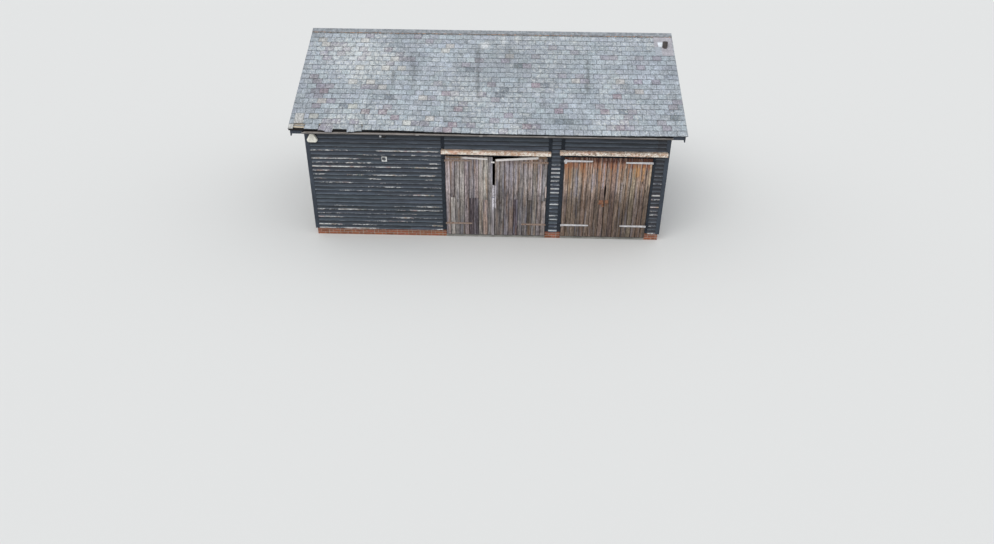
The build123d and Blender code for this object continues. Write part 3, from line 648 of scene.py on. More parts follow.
def lay_slate(bm, uv, left, right, low, length, thickness, depth, turn, colour, seed):
    """One slate in the slope's own coordinates."""
    tilt = -math.atan(SLATE_STEP / GAUGE)
    middle = Vector(((left + right) / 2, low, -depth))
    place = (
        Matrix.Translation(middle)
        @ Matrix.Rotation(math.radians(turn), 4, "Z")
        @ Matrix.Rotation(tilt, 4, "X")
        @ Matrix.Translation((0, length / 2, -thickness / 2))
        @ Matrix.Diagonal((right - left, length, thickness, 1))
    )
    verts = bmesh.ops.create_cube(bm, size=1, matrix=place)["verts"]
    give_tone(bm, verts, colour, seed)
    back = place.inverted()
    for corner in corners_of(verts):
        local = back @ corner.vert.co
        corner[uv].uv = (local.x + 0.5, (local.y + 0.5) * length / GAUGE)
    return verts


def lay_course(bm, uv, rng, roof, course, front):
    """One course of slates, doubled at the eaves; returns the vertices of their tails."""
    low = course * GAUGE
    loose_course, loose_x, loose_depth, loose_turn = LOOSE_SLATE
    tails = []
    for left, right, slip, turn in course_edges(rng, course, roof.slate_width, front):
        colour = slate_colour(rng, roof, course, left, right, front)
        depth = rng.uniform(-0.0002, 0.0012)
        skew = turn + rng.gauss(0, 0.22)
        drop = slip + rng.uniform(0, 0.003)
        if front:
            drop -= stray((left + right) / 2, low)
        if front and course == loose_course and left <= loose_x < right:
            depth, skew = loose_depth, loose_turn
        length = min(SLATE_LENGTH, SLOPE_LENGTH - low - TOP_GAP)
        gap = roof.slate_joint * rng.uniform(0.7, 1.5) / 2
        inner_left = left if left <= -ROOF_HALF else left + gap
        inner_right = right if right >= ROOF_HALF else right - gap
        verts = lay_slate(
            bm, uv, inner_left, inner_right, low - drop, length,
            roof.slate_thickness * rng.uniform(0.9, 1.25), depth, skew, colour, rng.random())
        tails += [vert for vert in verts if vert.co.y < low - drop + 0.05]
        if course == 0:
            lay_slate(
                bm, uv, inner_left, inner_right, EAVES_GAP - drop, GAUGE - EAVES_GAP + drop,
                roof.slate_thickness, EAVES_DEPTH, 0, colour, rng.random())
    return tails


class BARN_OT_lay_slates(Operator):
    """Lays the slates of both slopes, course by course"""
    bl_idname = "barn.lay_slates"
    bl_label = "Lay slates"

    def execute(self, context):
        roof = context.scene.barn_roof
        material = slate_finish(roof)
        for side, node in ((-1, "slates_front"), (1, "slates_back")):
            rng = random.Random(SLATE_SEED + side)
            bm = bmesh.new()
            uv = bm.loops.layers.uv.new("slate")
            bm.verts.layers.float_color.new("tone")
            tails = []
            for course in range(COURSES):
                tails += lay_course(bm, uv, rng, roof, course, side < 0)
            soften(bm, edges_among(tails), 0.0012)
            bm.transform(slope_frame(side))
            piece(bm, f"{node}_laid", material, replaces=(node,))
        return {"FINISHED"}


# Mortar under the ridge tiles: how far it shows, its size, and how far from the verges it ends
MORTAR_SHOWS = 0.012
MORTAR_WIDTH = 0.040
MORTAR_HEIGHT = 0.020
MORTAR_INSET = 0.006


class BARN_OT_bed_ridge(Operator):
    """Finishes the ridge tiles and beds them in mortar along both lower edges"""
    bl_idname = "barn.bed_ridge"
    bl_label = "Bed ridge tiles"

    def execute(self, context):
        roof = context.scene.barn_roof
        coat(moss_finish("ridge_clay", roof.ridge_clay, roof, 0.04), "ridge_tiles")
        wing = -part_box("ridge_tiles")[0].y / math.cos(SLOPE)
        low, reach = SLOPE_LENGTH - wing - MORTAR_SHOWS, ROOF_HALF - MORTAR_INSET
        bm = bmesh.new()
        for side in (-1, 1):
            before = len(bm.verts)
            verts = block(
                bm, (-reach, low, -MORTAR_HEIGHT / 2), (reach, low + MORTAR_WIDTH, MORTAR_HEIGHT / 2))
            divide(bm, long_edges(verts, 0, 1), 260)
            strip = newest(bm, before)
            for vert in strip:
                wobble = noise.noise(Vector((vert.co.x * 9, side * 5.0, 0.3)))
                fine = noise.noise(Vector((vert.co.x * 31, side * 5.0, 4.3)))
                if vert.co.y < low + MORTAR_WIDTH / 2:
                    vert.co.y += 0.014 * wobble + 0.006 * fine
                if vert.co.z > 0:
                    vert.co.z += 0.006 * wobble + 0.004 * fine - 0.003
            bmesh.ops.transform(bm, matrix=slope_frame(side), verts=strip)
        material = moss_finish("ridge_mortar", roof.mortar, roof, 0.10, litter=0.8)
        piece(bm, "ridge_mortar", material, smooth=50)
        return {"FINISHED"}


# Worn lower edges of the front's boards, by row: from X, to X and how worn
WORN_EDGES = {
    21: ((-2.32, -1.90, 0.48), (-1.66, -1.30, 0.50)),
    20: ((-4.94, -3.96, 0.52), (-3.01, -1.37, 0.66)),
    19: ((-2.90, -2.50, 0.36), (-2.22, -2.05, 0.46), (-1.75, -1.60, 0.42)),
    18: ((-4.80, -3.96, 0.66), (-3.96, -3.60, 0.46), (-2.50, -2.10, 0.40)),
    17: ((-4.72, -4.24, 0.48), (-3.90, -3.30, 0.48), (-1.66, -1.36, 0.66), (1.70, 2.15, 0.40)),
    16: ((-5.00, -3.60, 0.80), (-3.60, -3.00, 0.46), (-2.90, -2.45, 0.72), (-2.10, -1.40, 0.64),
         (1.70, 2.15, 0.88)),
    15: ((-4.90, -4.50, 0.54), (-3.80, -3.20, 0.36), (1.70, 2.15, 0.72), (4.62, 5.00, 0.34)),
    14: ((-4.90, -4.60, 0.52), (-3.95, -3.50, 0.50), (-3.30, -3.00, 0.46), (-2.90, -2.30, 0.58),
         (-1.90, -1.40, 0.58), (1.70, 2.15, 0.66)),
    13: ((-3.40, -3.00, 0.62), (-1.70, -1.50, 0.46), (1.70, 2.15, 0.74), (4.62, 5.00, 0.42)),
    12: ((-4.60, -3.90, 0.45), (1.70, 2.15, 0.50)),
    11: ((-2.91, -2.48, 0.50), (-1.69, -1.34, 0.50), (1.70, 2.15, 0.94), (4.62, 5.00, 0.26)),
    10: ((-4.20, -3.30, 0.48), (1.70, 2.15, 1.00), (4.62, 5.00, 0.90)),
    9: ((-2.02, -1.60, 0.62), (4.62, 5.00, 0.44)),
    7: ((1.70, 2.15, 1.00), (4.62, 5.00, 0.90)),
}
# How much higher the pier's boards sit than the others
PIER_RISE = 0.035


def wear(wall, x, row):
    """How worn a board's lower edge is at a place along it, from 0 to 1."""
    drift = noise.noise(Vector((x * 0.8, row * 7.7, len(wall) * 3.1)))
    fine = noise.noise(Vector((x * 2.9, row * 5.1, len(wall) * 1.7)))
    worn = 0.36 + 0.50 * drift + 0.30 * fine
    if wall == "front" and row > 8 and x < PIER[0]:
        worn = 0.20 + 0.40 * drift + 0.30 * fine
    elif wall == "front" and row > 6:
        worn = 0.04 + 0.20 * fine
    if wall == "front":
        for start, end, share in WORN_EDGES.get(row, ()):
            if start - 0.05 < x < end + 0.05:
                worn = max(worn, share + 0.16 * fine)
    if row > 20:
        worn -= 0.25 * (row - 20)
    return min(max(worn, 0.0), 1.0)


def paint_finish(boards):
    """Blue-black paint on lapped boards, worn to bare wood along their lower edges, with painted shade
    and highlights.
    """
    finish = Finish("weathered_black_paint", roughness=0.52, specular=0.4)
    tone, seed = finish.tone()
    up = finish.across_and_up("board")[1]
    worn = finish.node("ShaderNodeAttribute", attribute_name="wear").outputs["Fac"]
    cloud = finish.noise((1.3, 1.3, 14.0), seed, detail=5, roughness=0.65)
    colour = finish.clouded(tone, cloud, 0.3, 0.7, 0.58, 1.40)
    grain = finish.noise((7.0, 7.0, 120.0), seed, detail=4, roughness=0.7)
    colour = finish.clouded(colour, grain, 0.3, 0.7, 0.70, 1.28)
    # Painted shade under each lap, darkest just below the next board's butt.
    colour = finish.laid(colour, shade(17, 19, 23), finish.step(up, 0.56, 0.92), 0.9)
    # Painted highlight on the lower half of each board's face.
    face = finish.product(finish.step(up, 0.02, 0.12), finish.step(up, 0.46, 0.20), 0.22)
    colour = finish.mix(face, colour, shade(116, 126, 138))
    streaks = finish.noise((4.5, 4.5, 36.0), seed, detail=6, roughness=0.7)
    broken = finish.noise((23.0, 23.0, 85.0), seed, detail=4, roughness=0.75)
    share = finish.maths("ADD", finish.product(streaks, 0.5), finish.product(broken, 0.5))
    share = finish.maths("ADD", share, finish.spread(worn, -0.160, 0.165))
    edge = finish.maths("ADD", up, finish.spread(broken, -0.30, 0.30))
    bare = finish.product(finish.step(edge, 0.35, 0.21), finish.step(share, 0.49, 0.55))
    wood = finish.noise((3.1, 3.1, 7.0), seed, detail=3)
    wood_colour = finish.ramp(
        wood, (0.30, four(boards.worn_green)), (0.38, four(boards.worn_tan)),
        (0.45, four(boards.worn_white)), (0.56, four(boards.worn_white)),
        (0.62, four(boards.worn_rose)), (0.72, four(boards.worn_tan)))
    wood_colour = finish.clouded(wood_colour, broken, 0.36, 0.60, 0.34, 1.14)
    pier = finish.product(
        finish.window(finish.x, *PIER, 0.01), finish.step(finish.y, 0.0, -1.0), 0.62)
    wood_colour = finish.mix(pier, wood_colour, shade(204, 210, 214))
    colour = finish.laid(colour, wood_colour, bare, 0.95)
    # The glint is a painted highlight along each board's lower edge.
    glint = finish.product(finish.step(up, 0.26, 0.10), finish.step(streaks, 0.44, 0.60), 0.24)
    colour = finish.mix(glint, colour, shade(146, 154, 163))
    flecks = finish.product(finish.step(broken, 0.60, 0.70), finish.step(worn, 0.1, 0.9), 0.5)
    colour = finish.mix(flecks, colour, four(boards.worn_rose))
    finish.bump(finish.maths("ADD", grain, finish.product(streaks, 0.6)), 0.0018)
    return finish.done(colour)


def timber_finish(boards):
    """Old framing timber: blackened where it shows outside, bare and brown inside."""
    finish = Finish("framing_timber", roughness=0.75, specular=0.25)
    grain = finish.noise((14.0, 14.0, 14.0), detail=6, roughness=0.7, distortion=1.2)
    bare = four(boards.inside_timber)
    inside = finish.clouded(bare, grain, 0.3, 0.7, 0.55, 1.15)
    outside = finish.clouded(four([c * 0.41 for c in boards.paint]), grain, 0.3, 0.7, 0.6, 1.6)
    shows = finish.maths(
        "MAXIMUM", finish.step(finish.away(finish.y), 3.488, 3.494),
        finish.step(finish.away(finish.x), 5.002, 5.008))
    finish.bump(grain, 0.002)
    return finish.done(finish.mix(shows, inside, outside))


def board_runs(rng, left, right, shortest, longest):
    """Board ends along one course."""
    ends = [left]
    place = left + rng.uniform(0.35, 1.0) * longest
    while place < right - shortest / 3:
        ends.append(place)
        place += rng.uniform(shortest, longest)
    ends.append(right)
    return list(zip(ends, ends[1:]))


def lapped_board(bm, uv, rng, left, right, foot, height, colour, wall, row):
    """One lapped board in its wall's own coordinates; returns the places of its outer lower edge."""
    seed = rng.random()
    before = len(bm.verts)
    verts = block(bm, (left + BOARD_GAP, foot, 0), (right - BOARD_GAP, foot + height, 1))
    middle = foot + height / 2
    share = height / BOARD_HEIGHT
    for vert in verts:
        low, outer = vert.co.y < middle, vert.co.z > 0.5
        if low:
            vert.co.z = BOARDING_DEPTH if outer else BOARDING_DEPTH - BUTT
        else:
            taper = BUTT / EXPOSURE * BOARD_HEIGHT if outer else BACK_TAPER
            vert.co.z = max(BOARDING_DEPTH - taper * share, THINNEST)
    cuts = int((right - left) / BOARD_CUT)
    if cuts:
        divide(bm, long_edges(verts, 0, 0.5 * (right - left)), cuts)
    verts = newest(bm, before)
    for corner in corners_of(verts):
        corner[uv].uv = (corner.vert.co.x, (corner.vert.co.y - foot) / EXPOSURE)
    layer = bm.verts.layers.float["wear"]
    butt = []
    for place, vert in enumerate(verts, before):
        vert[layer] = wear(wall, vert.co.x, row)
        if vert.co.y < middle:
            vert.co.y += 0.0035 * noise.noise(Vector((vert.co.x * 0.9, foot * 5.3, seed * 9)))
            if vert.co.z > BOARDING_DEPTH - BUTT / 2:
                vert.co.z -= 0.002 * abs(noise.noise(Vector((vert.co.x * 1.4, foot * 3.1, seed * 9 + 4))))
                butt.append(place)
    give_tone(bm, verts, varied(rng, colour, 0.18, 0.03), seed)
    return butt


def lapped_wall(rng, boards, wall, panels, rise=0.0, tint=(1.0, 1.0, 1.0)):
    """Bmesh of boards on one wall between limits along it and up it."""
    paint = [channel * share for channel, share in zip(boards.paint, tint)]
    bm = bmesh.new()
    bm.verts.layers.float_color.new("tone")
    bm.verts.layers.float.new("wear")
    uv = bm.loops.layers.uv.new("board")
    butts = []
    for left, right, low, high in panels:
        first = math.floor((low - BOARD_BASE - rise) / EXPOSURE + 1e-6)
        last = math.ceil((high - BOARD_BASE - rise) / EXPOSURE - 1e-6)
        for row in range(first, last):
            foot = BOARD_BASE + rise + row * EXPOSURE
            base, top = max(foot, low), min(foot + BOARD_HEIGHT, high)
            if top - base < 0.03:
                continue
            for start, end in board_runs(rng, left, right, boards.shortest_board, boards.longest_board):
                butts += lapped_board(
                    bm, uv, rng, start, end, base, top - base, paint, wall, row)
    bm.verts.ensure_lookup_table()
    soften(bm, edges_among([bm.verts[place] for place in butts]), 0.003)
    bm.transform(wall_frame(wall))
    return bm


def cut_to_slopes(bm):
    """Cuts a gable's boards off under both slopes."""
    for side in (-1, 1):
        place = slope_frame(side)
        geom = bm.verts[:] + bm.edges[:] + bm.faces[:]
        cut = bmesh.ops.bisect_plane(
            bm, geom=geom, plane_co=place @ Vector((0, 0, -GABLE_DEPTH)),
            plane_no=place.to_3x3() @ Vector((0, 0, 1)), clear_outer=True)
        rim = [item for item in cut["geom_cut"] if isinstance(item, bmesh.types.BMEdge)]
        bmesh.ops.holes_fill(bm, edges=rim, sides=0)


# How much of its paint's red, green and blue each piece of the front wall shows
FRONT_TINTS = (
    ("boarding_front_left", (0.84, 0.85, 0.84)), ("boarding_pier", (0.94, 0.94, 0.94)),
    ("boarding_front_right", (0.68, 0.58, 0.55)), ("boarding_over_left_doors", (1.06, 1.07, 1.06)),
    ("boarding_over_right_doors", (0.90, 0.90, 0.89)),
)


class BARN_OT_hang_boards(Operator):
    """Hangs the lapped boards of the four walls, each board by itself"""
    bl_idname = "barn.hang_boards"
    bl_label = "Hang boards"

    def execute(self, context):
        boards = context.scene.barn_boarding
        material = paint_finish(boards)
        for count, (node, tint) in enumerate(FRONT_TINTS):
            low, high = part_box(node)
            bm = lapped_wall(
                random.Random(FRONT_SEED + count), boards, "front", [(low.x, high.x, low.z, high.z)],
                rise=PIER_RISE if node == "boarding_pier" else 0.0, tint=tint)
            piece(bm, f"{node}_boards", material, replaces=(node,))
        low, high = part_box("boarding_back")
        bm = lapped_wall(
            random.Random(BACK_SEED), boards, "back", [(low.x, high.x, low.z, high.z)])
        piece(bm, "boarding_back_boards", material, replaces=("boarding_back",))
        eaves, reach = WALLS_HIGH.z, WALL_Y - CORNER_BOARD
        for wall, seed in GABLE_SEEDS.items():
            node = f"boarding_{wall}"
            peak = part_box(node)[1].z
            bm = lapped_wall(
                random.Random(seed), boards, wall,
                [(-reach, reach, BOARD_BASE, eaves), (-WALL_Y, WALL_Y, eaves, peak)])
            cut_to_slopes(bm)
            piece(bm, f"{node}_boards", material, replaces=(node,))
        return {"FINISHED"}


def batten_finish(boards):
    """Sawn battens, with painted shade, near-black, where they reach past the walls."""
    finish = Finish("batten_timber", roughness=0.8, specular=0.2)
    grain = finish.noise((3.0, 40.0, 40.0), detail=5, roughness=0.7)
    finish.bump(grain, 0.001)
    sawn = finish.clouded(four(boards.batten), grain, 0.3, 0.7, 0.6, 1.1)
    # Painted shade: near-black where the battens reach past the walls, under the slates' tails.
    sooty = finish.step(finish.away(finish.y), 3.665, 3.695)
    return finish.done(finish.mix(sooty, sawn, shade(24, 23, 23)))


def joinery_paint(boards):
    """Black paint of the trim boards, a little faded and streaked."""
    finish = Finish("black_joinery", roughness=0.5)
    cloud = finish.noise((5.0, 5.0, 2.0), detail=5, roughness=0.65)
    grain = finish.noise((60.0, 60.0, 6.0), detail=4, roughness=0.7)
    paint = four([c * 0.8 for c in boards.paint])
    shown = finish.clouded(paint, cloud, 0.3, 0.7, 0.75, 1.25)
    shown = finish.clouded(shown, grain, 0.3, 0.7, 0.85, 1.15)
    finish.bump(grain, 0.001)
    return finish.done(shown)


# The loose batten on the front slope: two corners, along the eaves, up the slope and out of it
LOOSE_BATTEN = ((-5.30, 0.137, -0.034), (-4.97, 0.192, -0.022))


class BARN_OT_finish_frame(Operator):
    """Finishes the frame, roof timbers and trim boards, and adds the loose batten"""
    bl_idname = "barn.finish_frame"
    bl_label = "Finish frame"

    def execute(self, context):
        boards = context.scene.barn_boarding
        coat(
            timber_finish(boards),
            "frame_front_left", "frame_pier", "frame_front_right", "door_heads", "frame_back",
            "frame_left", "frame_right", "wall_plate_front", "wall_plate_back", "truss_left",
            "truss_right", "purlins", "ridge_board", "rafters_front", "rafters_back")
        material = batten_finish(boards)
        coat(material, "battens_front", "battens_back")
        bm = bmesh.new()
        block(bm, *LOOSE_BATTEN, Matrix.Rotation(-0.03, 4, "Z"))
        bm.transform(slope_frame(-1))
        piece(bm, "loose_batten", material)
        coat(
            joinery_paint(boards), "corner_boards", "fascia_front", "fascia_back",
            "verge_boards_left", "verge_boards_right")
        return {"FINISHED"}


def old_wood(finish, colour, seed):
    """Colour and grain of bare boards that stand upright."""
    broad = finish.noise((16.0, 16.0, 0.9), seed, detail=6, roughness=0.72, distortion=0.4)
    grain = finish.noise((30.0, 30.0, 2.4), seed, detail=6, roughness=0.78, distortion=0.4)
    mottle = finish.noise((17.0, 17.0, 11.0), seed, detail=6, roughness=0.8)
    shown = finish.clouded(colour, broad, 0.33, 0.67, 0.54, 1.46)
    shown = finish.clouded(shown, grain, 0.35, 0.65, 0.58, 1.38)
    shown = finish.clouded(shown, mottle, 0.36, 0.64, 0.72, 1.26)
    return shown, broad, grain, mottle


def rust_stains(finish, shown, hue, broad, grain, mottle):
    """Rusty, bleached and dark marks of the right bay's leaves; their darker foot and crown are partly
    painted shade.
    """
    # Darker low down: partly dirt, partly painted shade.
    low = finish.step(finish.z, 1.75, 1.15)
    shown = finish.laid(shown, shade(92, 78, 76), low, 0.20)
    heat = finish.product(
        finish.step(finish.z, 1.60, 2.30), finish.step(hue, 0.42, 0.60),
        finish.step(mottle, 0.36, 0.60), 0.72)
    shown = finish.mix(heat, shown, shade(172, 118, 78))
    bled = finish.product(finish.window(finish.z, 2.22, 2.44, 0.06), finish.step(broad, 0.60, 0.44), 0.5)
    shown = finish.mix(bled, shown, shade(150, 84, 52))
    # Dark red-brown crown under the lintel: partly stain, partly the lintel's painted shade.
    crown = finish.product(
        finish.step(finish.z, 2.32, 2.44), finish.step(grain, 0.66, 0.46), 0.92)
    shown = finish.mix(crown, shown, shade(76, 44, 38))
    runs = finish.product(
        finish.step(finish.z, 2.16, 2.44), finish.step(broad, 0.59, 0.65), 0.6)
    shown = finish.mix(runs, shown, shade(196, 186, 186))
    for left, right, bottom, top, colour in DOOR_MARKS:
        mark = finish.product(
            finish.window(finish.x, left, right, 0.012),
            finish.window(finish.z, bottom, top, 0.05), finish.step(mottle, 0.36, 0.52), 0.8)
        shown = finish.mix(mark, shown, shade(*colour))
    return shown


def damp_stains(finish, shown, broad, grain, mottle):
    """Dark crown, partly painted shade, rust beside the straps and damp foot of the left bay's leaves."""
    # Dark crown under the lintel: partly stain, partly the lintel's painted shade.
    crown = finish.product(
        finish.step(finish.z, 2.22, 2.38), finish.step(broad, 0.70, 0.46),
        finish.spread(finish.step(finish.x, 0.15, 0.25), 0.12, 0.42))
    shown = finish.mix(crown, shown, shade(104, 80, 62))
    drips = finish.product(
        finish.step(finish.z, 2.02, 2.26), finish.step(grain, 0.48, 0.60), 0.62)
    near_strap = finish.maths(
        "MAXIMUM", finish.window(finish.x, 0.98, 1.66, 0.06),
        finish.product(finish.window(finish.x, -1.14, -0.62, 0.06), 0.6))
    shown = finish.laid(shown, shade(166, 112, 68), drips, near_strap)
    foot = finish.product(
        finish.window(finish.x, 0.255, 0.420, 0.02), finish.window(finish.z, 1.02, 1.24, 0.04),
        finish.step(mottle, 0.60, 0.44), 0.7)
    return finish.mix(foot, shown, shade(92, 76, 66))


def flaked_edges(finish, shown, mottle):
    """Whitish edges of the left bay's right leaf, at the meeting and at the pier."""
    flaked = finish.product(
        finish.window(finish.x, 0.200, 0.258, 0.006), finish.window(finish.z, 0.95, 1.66, 0.04),
        finish.step(mottle, 0.38, 0.46), 0.85)
    shown = finish.mix(flaked, shown, shade(204, 198, 204))
    sliver = finish.product(
        finish.window(finish.x, 1.660, 1.700, 0.004), finish.window(finish.z, 1.30, 1.64, 0.01), 0.9)
    return finish.mix(sliver, shown, shade(208, 190, 184))


def door_finish(name, rusty):
    """Weathered door boards, each of its own tone, dark along their joints and, with dirt and painted
    shade, at their feet.
    """
    finish = Finish(name, roughness=0.82, specular=0.2)
    tone, seed = finish.tone()
    shown, broad, grain, mottle = old_wood(finish, tone, seed)
    hue = finish.noise((13.0, 13.0, 0.9), seed, detail=3)
    warm, cool = finish.step(hue, 0.53, 0.66), finish.step(hue, 0.47, 0.34)
    shown = finish.laid(shown, shade(164, 130, 100), warm, 0.42)
    shown = finish.laid(shown, shade(146, 146, 162), cool, 0.46)
    bleached = finish.product(finish.step(broad, 0.54, 0.66), finish.step(grain, 0.4, 0.6), 0.55)
    shown = finish.mix(bleached, shown, shade(204, 198, 194))
    knots = finish.step(finish.cells((9.0, 9.0, 2.4), seed), 0.17, 0.07)
    shown = finish.laid(shown, shade(56, 44, 40), knots, 0.75)
    if rusty:
        shown = rust_stains(finish, shown, hue, broad, grain, mottle)
    else:
        shown = damp_stains(finish, shown, broad, grain, mottle)
    # Darker towards the feet of the leaves: partly dirt, partly painted shade.
    height = finish.maths("ADD", finish.z, finish.spread(mottle, -0.25, 0.25))
    shade_and_dirt_from, shade_and_dirt_level = (1.90, 0.56) if rusty else (1.74, 0.63)
    shown = finish.clouded(shown, height, shade_and_dirt_from, 1.08, 1.0, shade_and_dirt_level)
    from_middle = finish.away(finish.across_and_up("board")[0], 0.5)
    joint = finish.product(
        finish.step(from_middle, 0.40, 0.49), finish.step(finish.noise(6.0, seed), 0.25, 0.55), 0.85)
    shown = finish.mix(joint, shown, shade(36, 31, 30))
    if not rusty:
        shown = flaked_edges(finish, shown, mottle)
    finish.bump(finish.maths("ADD", broad, finish.product(grain, 0.6)), 0.0035)
    return finish.done(shown)


# Each leaf: side of its hinge, and heights of its top at the hinge and at its free edge
LEAVES = {
    "left_bay_left": (-1, 2.515, 2.497),
    "left_bay_right": (1, 2.500, 2.436),
    "right_bay_left": (-1, 2.530, 2.528),
    "right_bay_right": (1, 2.530, 2.528),
}
# Marks on the right bay's leaves: left, right, bottom and top, and colour
DOOR_MARKS = (
    (4.555, 4.612, 1.740, 2.384, (200, 180, 156)), (4.530, 4.575, 1.670, 1.700, (20, 18, 18)),
    (2.96, 2.99, 1.50, 2.05, (178, 174, 182)), (3.27, 3.30, 1.62, 2.36, (180, 172, 178)),
    (2.52, 2.58, 1.35, 1.95, (160, 158, 168)), (3.80, 3.84, 1.20, 1.80, (166, 158, 162)),
    (4.17, 4.27, 1.98, 2.28, (190, 144, 98)), (4.36, 4.42, 1.84, 2.28, (192, 150, 108)),
)
# Boards of the leaves whose lower ends are repairs: board, top of the repair and its colour
REPAIRS = {
    "left_bay_left": (
        (1, 1.262, (212, 208, 194)), (5, 1.246, (120, 112, 114)), (6, 1.250, (118, 110, 114)),
        (8, 1.200, (206, 186, 172)),
    ),
    "left_bay_right": (
        (4, 1.230, (108, 98, 106)), (7, 1.213, (116, 106, 100)), (10, 1.190, (182, 172, 164)),
    ),
    "right_bay_left": (),
    "right_bay_right": (),
}
# Where the right bay's leaves are worn back at their meeting edges: how far and between which heights
MEETING_WEAR = (0.015, 1.33, 1.76)

# Ledges, braces and boards of a leaf
LEDGE_HEIGHT = 0.150
LEDGE_LEVELS = (0.450, 1.390, 2.330)
LEDGE_DEPTH = 0.035
LEDGE_INSET = 0.045
BRACE_WIDTH = 0.120
LEAF_BOARD = 0.025
EDGE_GAP = 0.0015
REPAIR_GAP = 0.004
# Nails of a board on each ledge: share of the board's width, and height from the ledge's middle
NAILS = ((0.28, -0.035), (0.70, 0.035))


def upright_board(bm, uv, rng, edges, front, back, z, colour, worn_side=0):
    """One upright board with slightly uneven edges; z is its foot and its top at each edge."""
    (left, right), (foot, left_top, right_top) = edges, z
    seed = rng.random()
    before = len(bm.verts)
    high = max(left_top, right_top)
    board = block(bm, (left, front + rng.uniform(0, 0.0025), foot), (right, back, high))
    divide(bm, long_edges(board, 2, 0.5 * (high - foot)), 15)
    verts = newest(bm, before)
    for vert in verts:
        across = (vert.co.x - left) / (right - left)
        top = left_top + (right_top - left_top) * across
        vert.co.z = foot + (vert.co.z - foot) / (high - foot) * (top - foot)
    for corner in corners_of(verts):
        corner[uv].uv = ((corner.vert.co.x - left) / (right - left), corner.vert.co.z)
    deep, bottom, top = MEETING_WEAR
    for vert in verts:
        wander = noise.noise(Vector((vert.co.x * 40, vert.co.z * 1.7, seed * 9)))
        outer = worn_side * (vert.co.x - (left + right) / 2) > 0
        if outer and bottom < vert.co.z < top:
            vert.co.x -= worn_side * deep
        vert.co.x += 0.0014 * wander
        if vert.co.y < back - 0.01:
            vert.co.y += 0.0018 * abs(noise.noise(Vector((seed * 31, vert.co.z * 1.3, seed * 9))))
    give_tone(bm, verts, varied(rng, colour, 0.22, 0.05), seed)


def board_steps(doors, low, high):
    """How many boards a leaf has, and how wide each is with its joint."""
    count = round((high.x - low.x) / doors.board_width)
    return count, (high.x - low.x) / count


def leaf_boards(bm, uv, rng, doors, name, colour, low, high):
    """Upright boards of one leaf, some with repaired lower ends."""
    side, hinge_top, free_top = LEAVES[name]
    count, step = board_steps(doors, low, high)
    front, back = low.y, low.y + LEAF_BOARD
    left_top, right_top = (hinge_top, free_top) if side < 0 else (free_top, hinge_top)
    half_joint = doors.board_joint / 2
    repaired = {board: (top, new) for board, top, new in REPAIRS[name]}
    free_board = count - 1 if side < 0 else 0
    for board in range(count):
        edges = (
            low.x + board * step + (half_joint if board else EDGE_GAP),
            low.x + (board + 1) * step - (half_joint if board < count - 1 else EDGE_GAP))
        tops = [
            left_top + (right_top - left_top) * (edge - low.x) / (high.x - low.x)
            for edge in edges]
        foot = low.z
        if board in repaired:
            split, new = repaired[board]
            low_top = split - REPAIR_GAP
            upright_board(bm, uv, rng, edges, front, back, (foot, low_top, low_top), shade(*new))
            foot = split
        worn_side = -side if name.startswith("right") and board == free_board else 0
        upright_board(bm, uv, rng, edges, front, back, (foot, *tops), colour, worn_side)


def leaf_ledges(bm, rng, colour, low, high, side):
    """Ledges and braces on the back of one leaf."""
    back = low.y + LEAF_BOARD
    near, far = low.x + LEDGE_INSET, high.x - LEDGE_INSET
    for level in LEDGE_LEVELS:
        verts = block(
            bm, (near, back, level - LEDGE_HEIGHT / 2),
            (far, back + LEDGE_DEPTH, level + LEDGE_HEIGHT / 2))
        give_tone(bm, verts, varied(rng, colour, 0.1), rng.random())
    hinge, free = (near, far) if side < 0 else (far, near)
    for bottom, top in zip(LEDGE_LEVELS, LEDGE_LEVELS[1:]):
        z_low, z_high = bottom + LEDGE_HEIGHT / 2, top - LEDGE_HEIGHT / 2
        verts = block(
            bm, (hinge, back, z_low), (hinge - side * BRACE_WIDTH, back + LEDGE_DEPTH - 0.002, z_high))
        for vert in verts:
            if vert.co.z > (z_low + z_high) / 2:
                vert.co.x += free - hinge + side * BRACE_WIDTH
        give_tone(bm, verts, varied(rng, colour, 0.1), rng.random())


def round_head(bm, place, radius, face_radius, depth):
    """Head of a nail or a bolt that faces out of the doors."""
    turned = Matrix.Translation(place) @ Matrix.Rotation(math.radians(90), 4, "X")
    return bmesh.ops.create_cone(
        bm, cap_ends=True, segments=8, radius1=radius, radius2=face_radius, depth=depth,
        matrix=turned)["verts"]


def nail_heads(bm, rng, doors, low, high):
    """Nail heads along the ledges, seen from the front."""
    count, step = board_steps(doors, low, high)
    for board in range(count):
        for level in LEDGE_LEVELS:
            for across, up in NAILS:
                height = level + up + rng.uniform(-0.01, 0.01)
                place = (low.x + (board + across) * step, low.y + 0.0035, height)
                verts = round_head(bm, place, 0.0055, 0.004, 0.004)
                give_tone(bm, verts, shade(62, 44, 36), rng.random())


class BARN_OT_hang_doors(Operator):
    """Builds the four door leaves board by board, with their ledges, braces and nails"""
    bl_idname = "barn.hang_doors"
    bl_label = "Hang doors"

    def execute(self, context):
        doors = context.scene.barn_doors
        grey_wood = door_finish("grey_door_boards", rusty=False)
        brown_wood = door_finish("brown_door_boards", rusty=True)
        for count, name in enumerate(LEAVES):
            rng = random.Random(DOOR_SEED + count)
            left_bay = name.startswith("left_bay")
            colour = doors.grey_boards if left_bay else doors.brown_boards
            if name.endswith("_left"):
                colour = [channel * 1.12 for channel in colour]
            low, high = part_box(f"{name}_leaf")
            bm = bmesh.new()
            bm.verts.layers.float_color.new("tone")
            uv = bm.loops.layers.uv.new("board")
            leaf_boards(bm, uv, rng, doors, name, colour, low, high)
            leaf_ledges(bm, rng, colour, low, high, LEAVES[name][0])
            soften(bm, arrises(bm), 0.0018)
            nail_heads(bm, rng, doors, low, high)
            piece(
                bm, f"{name}_leaf_boards", grey_wood if left_bay else brown_wood,
                body=f"{name}_door", replaces=(f"{name}_leaf",))
        return {"FINISHED"}


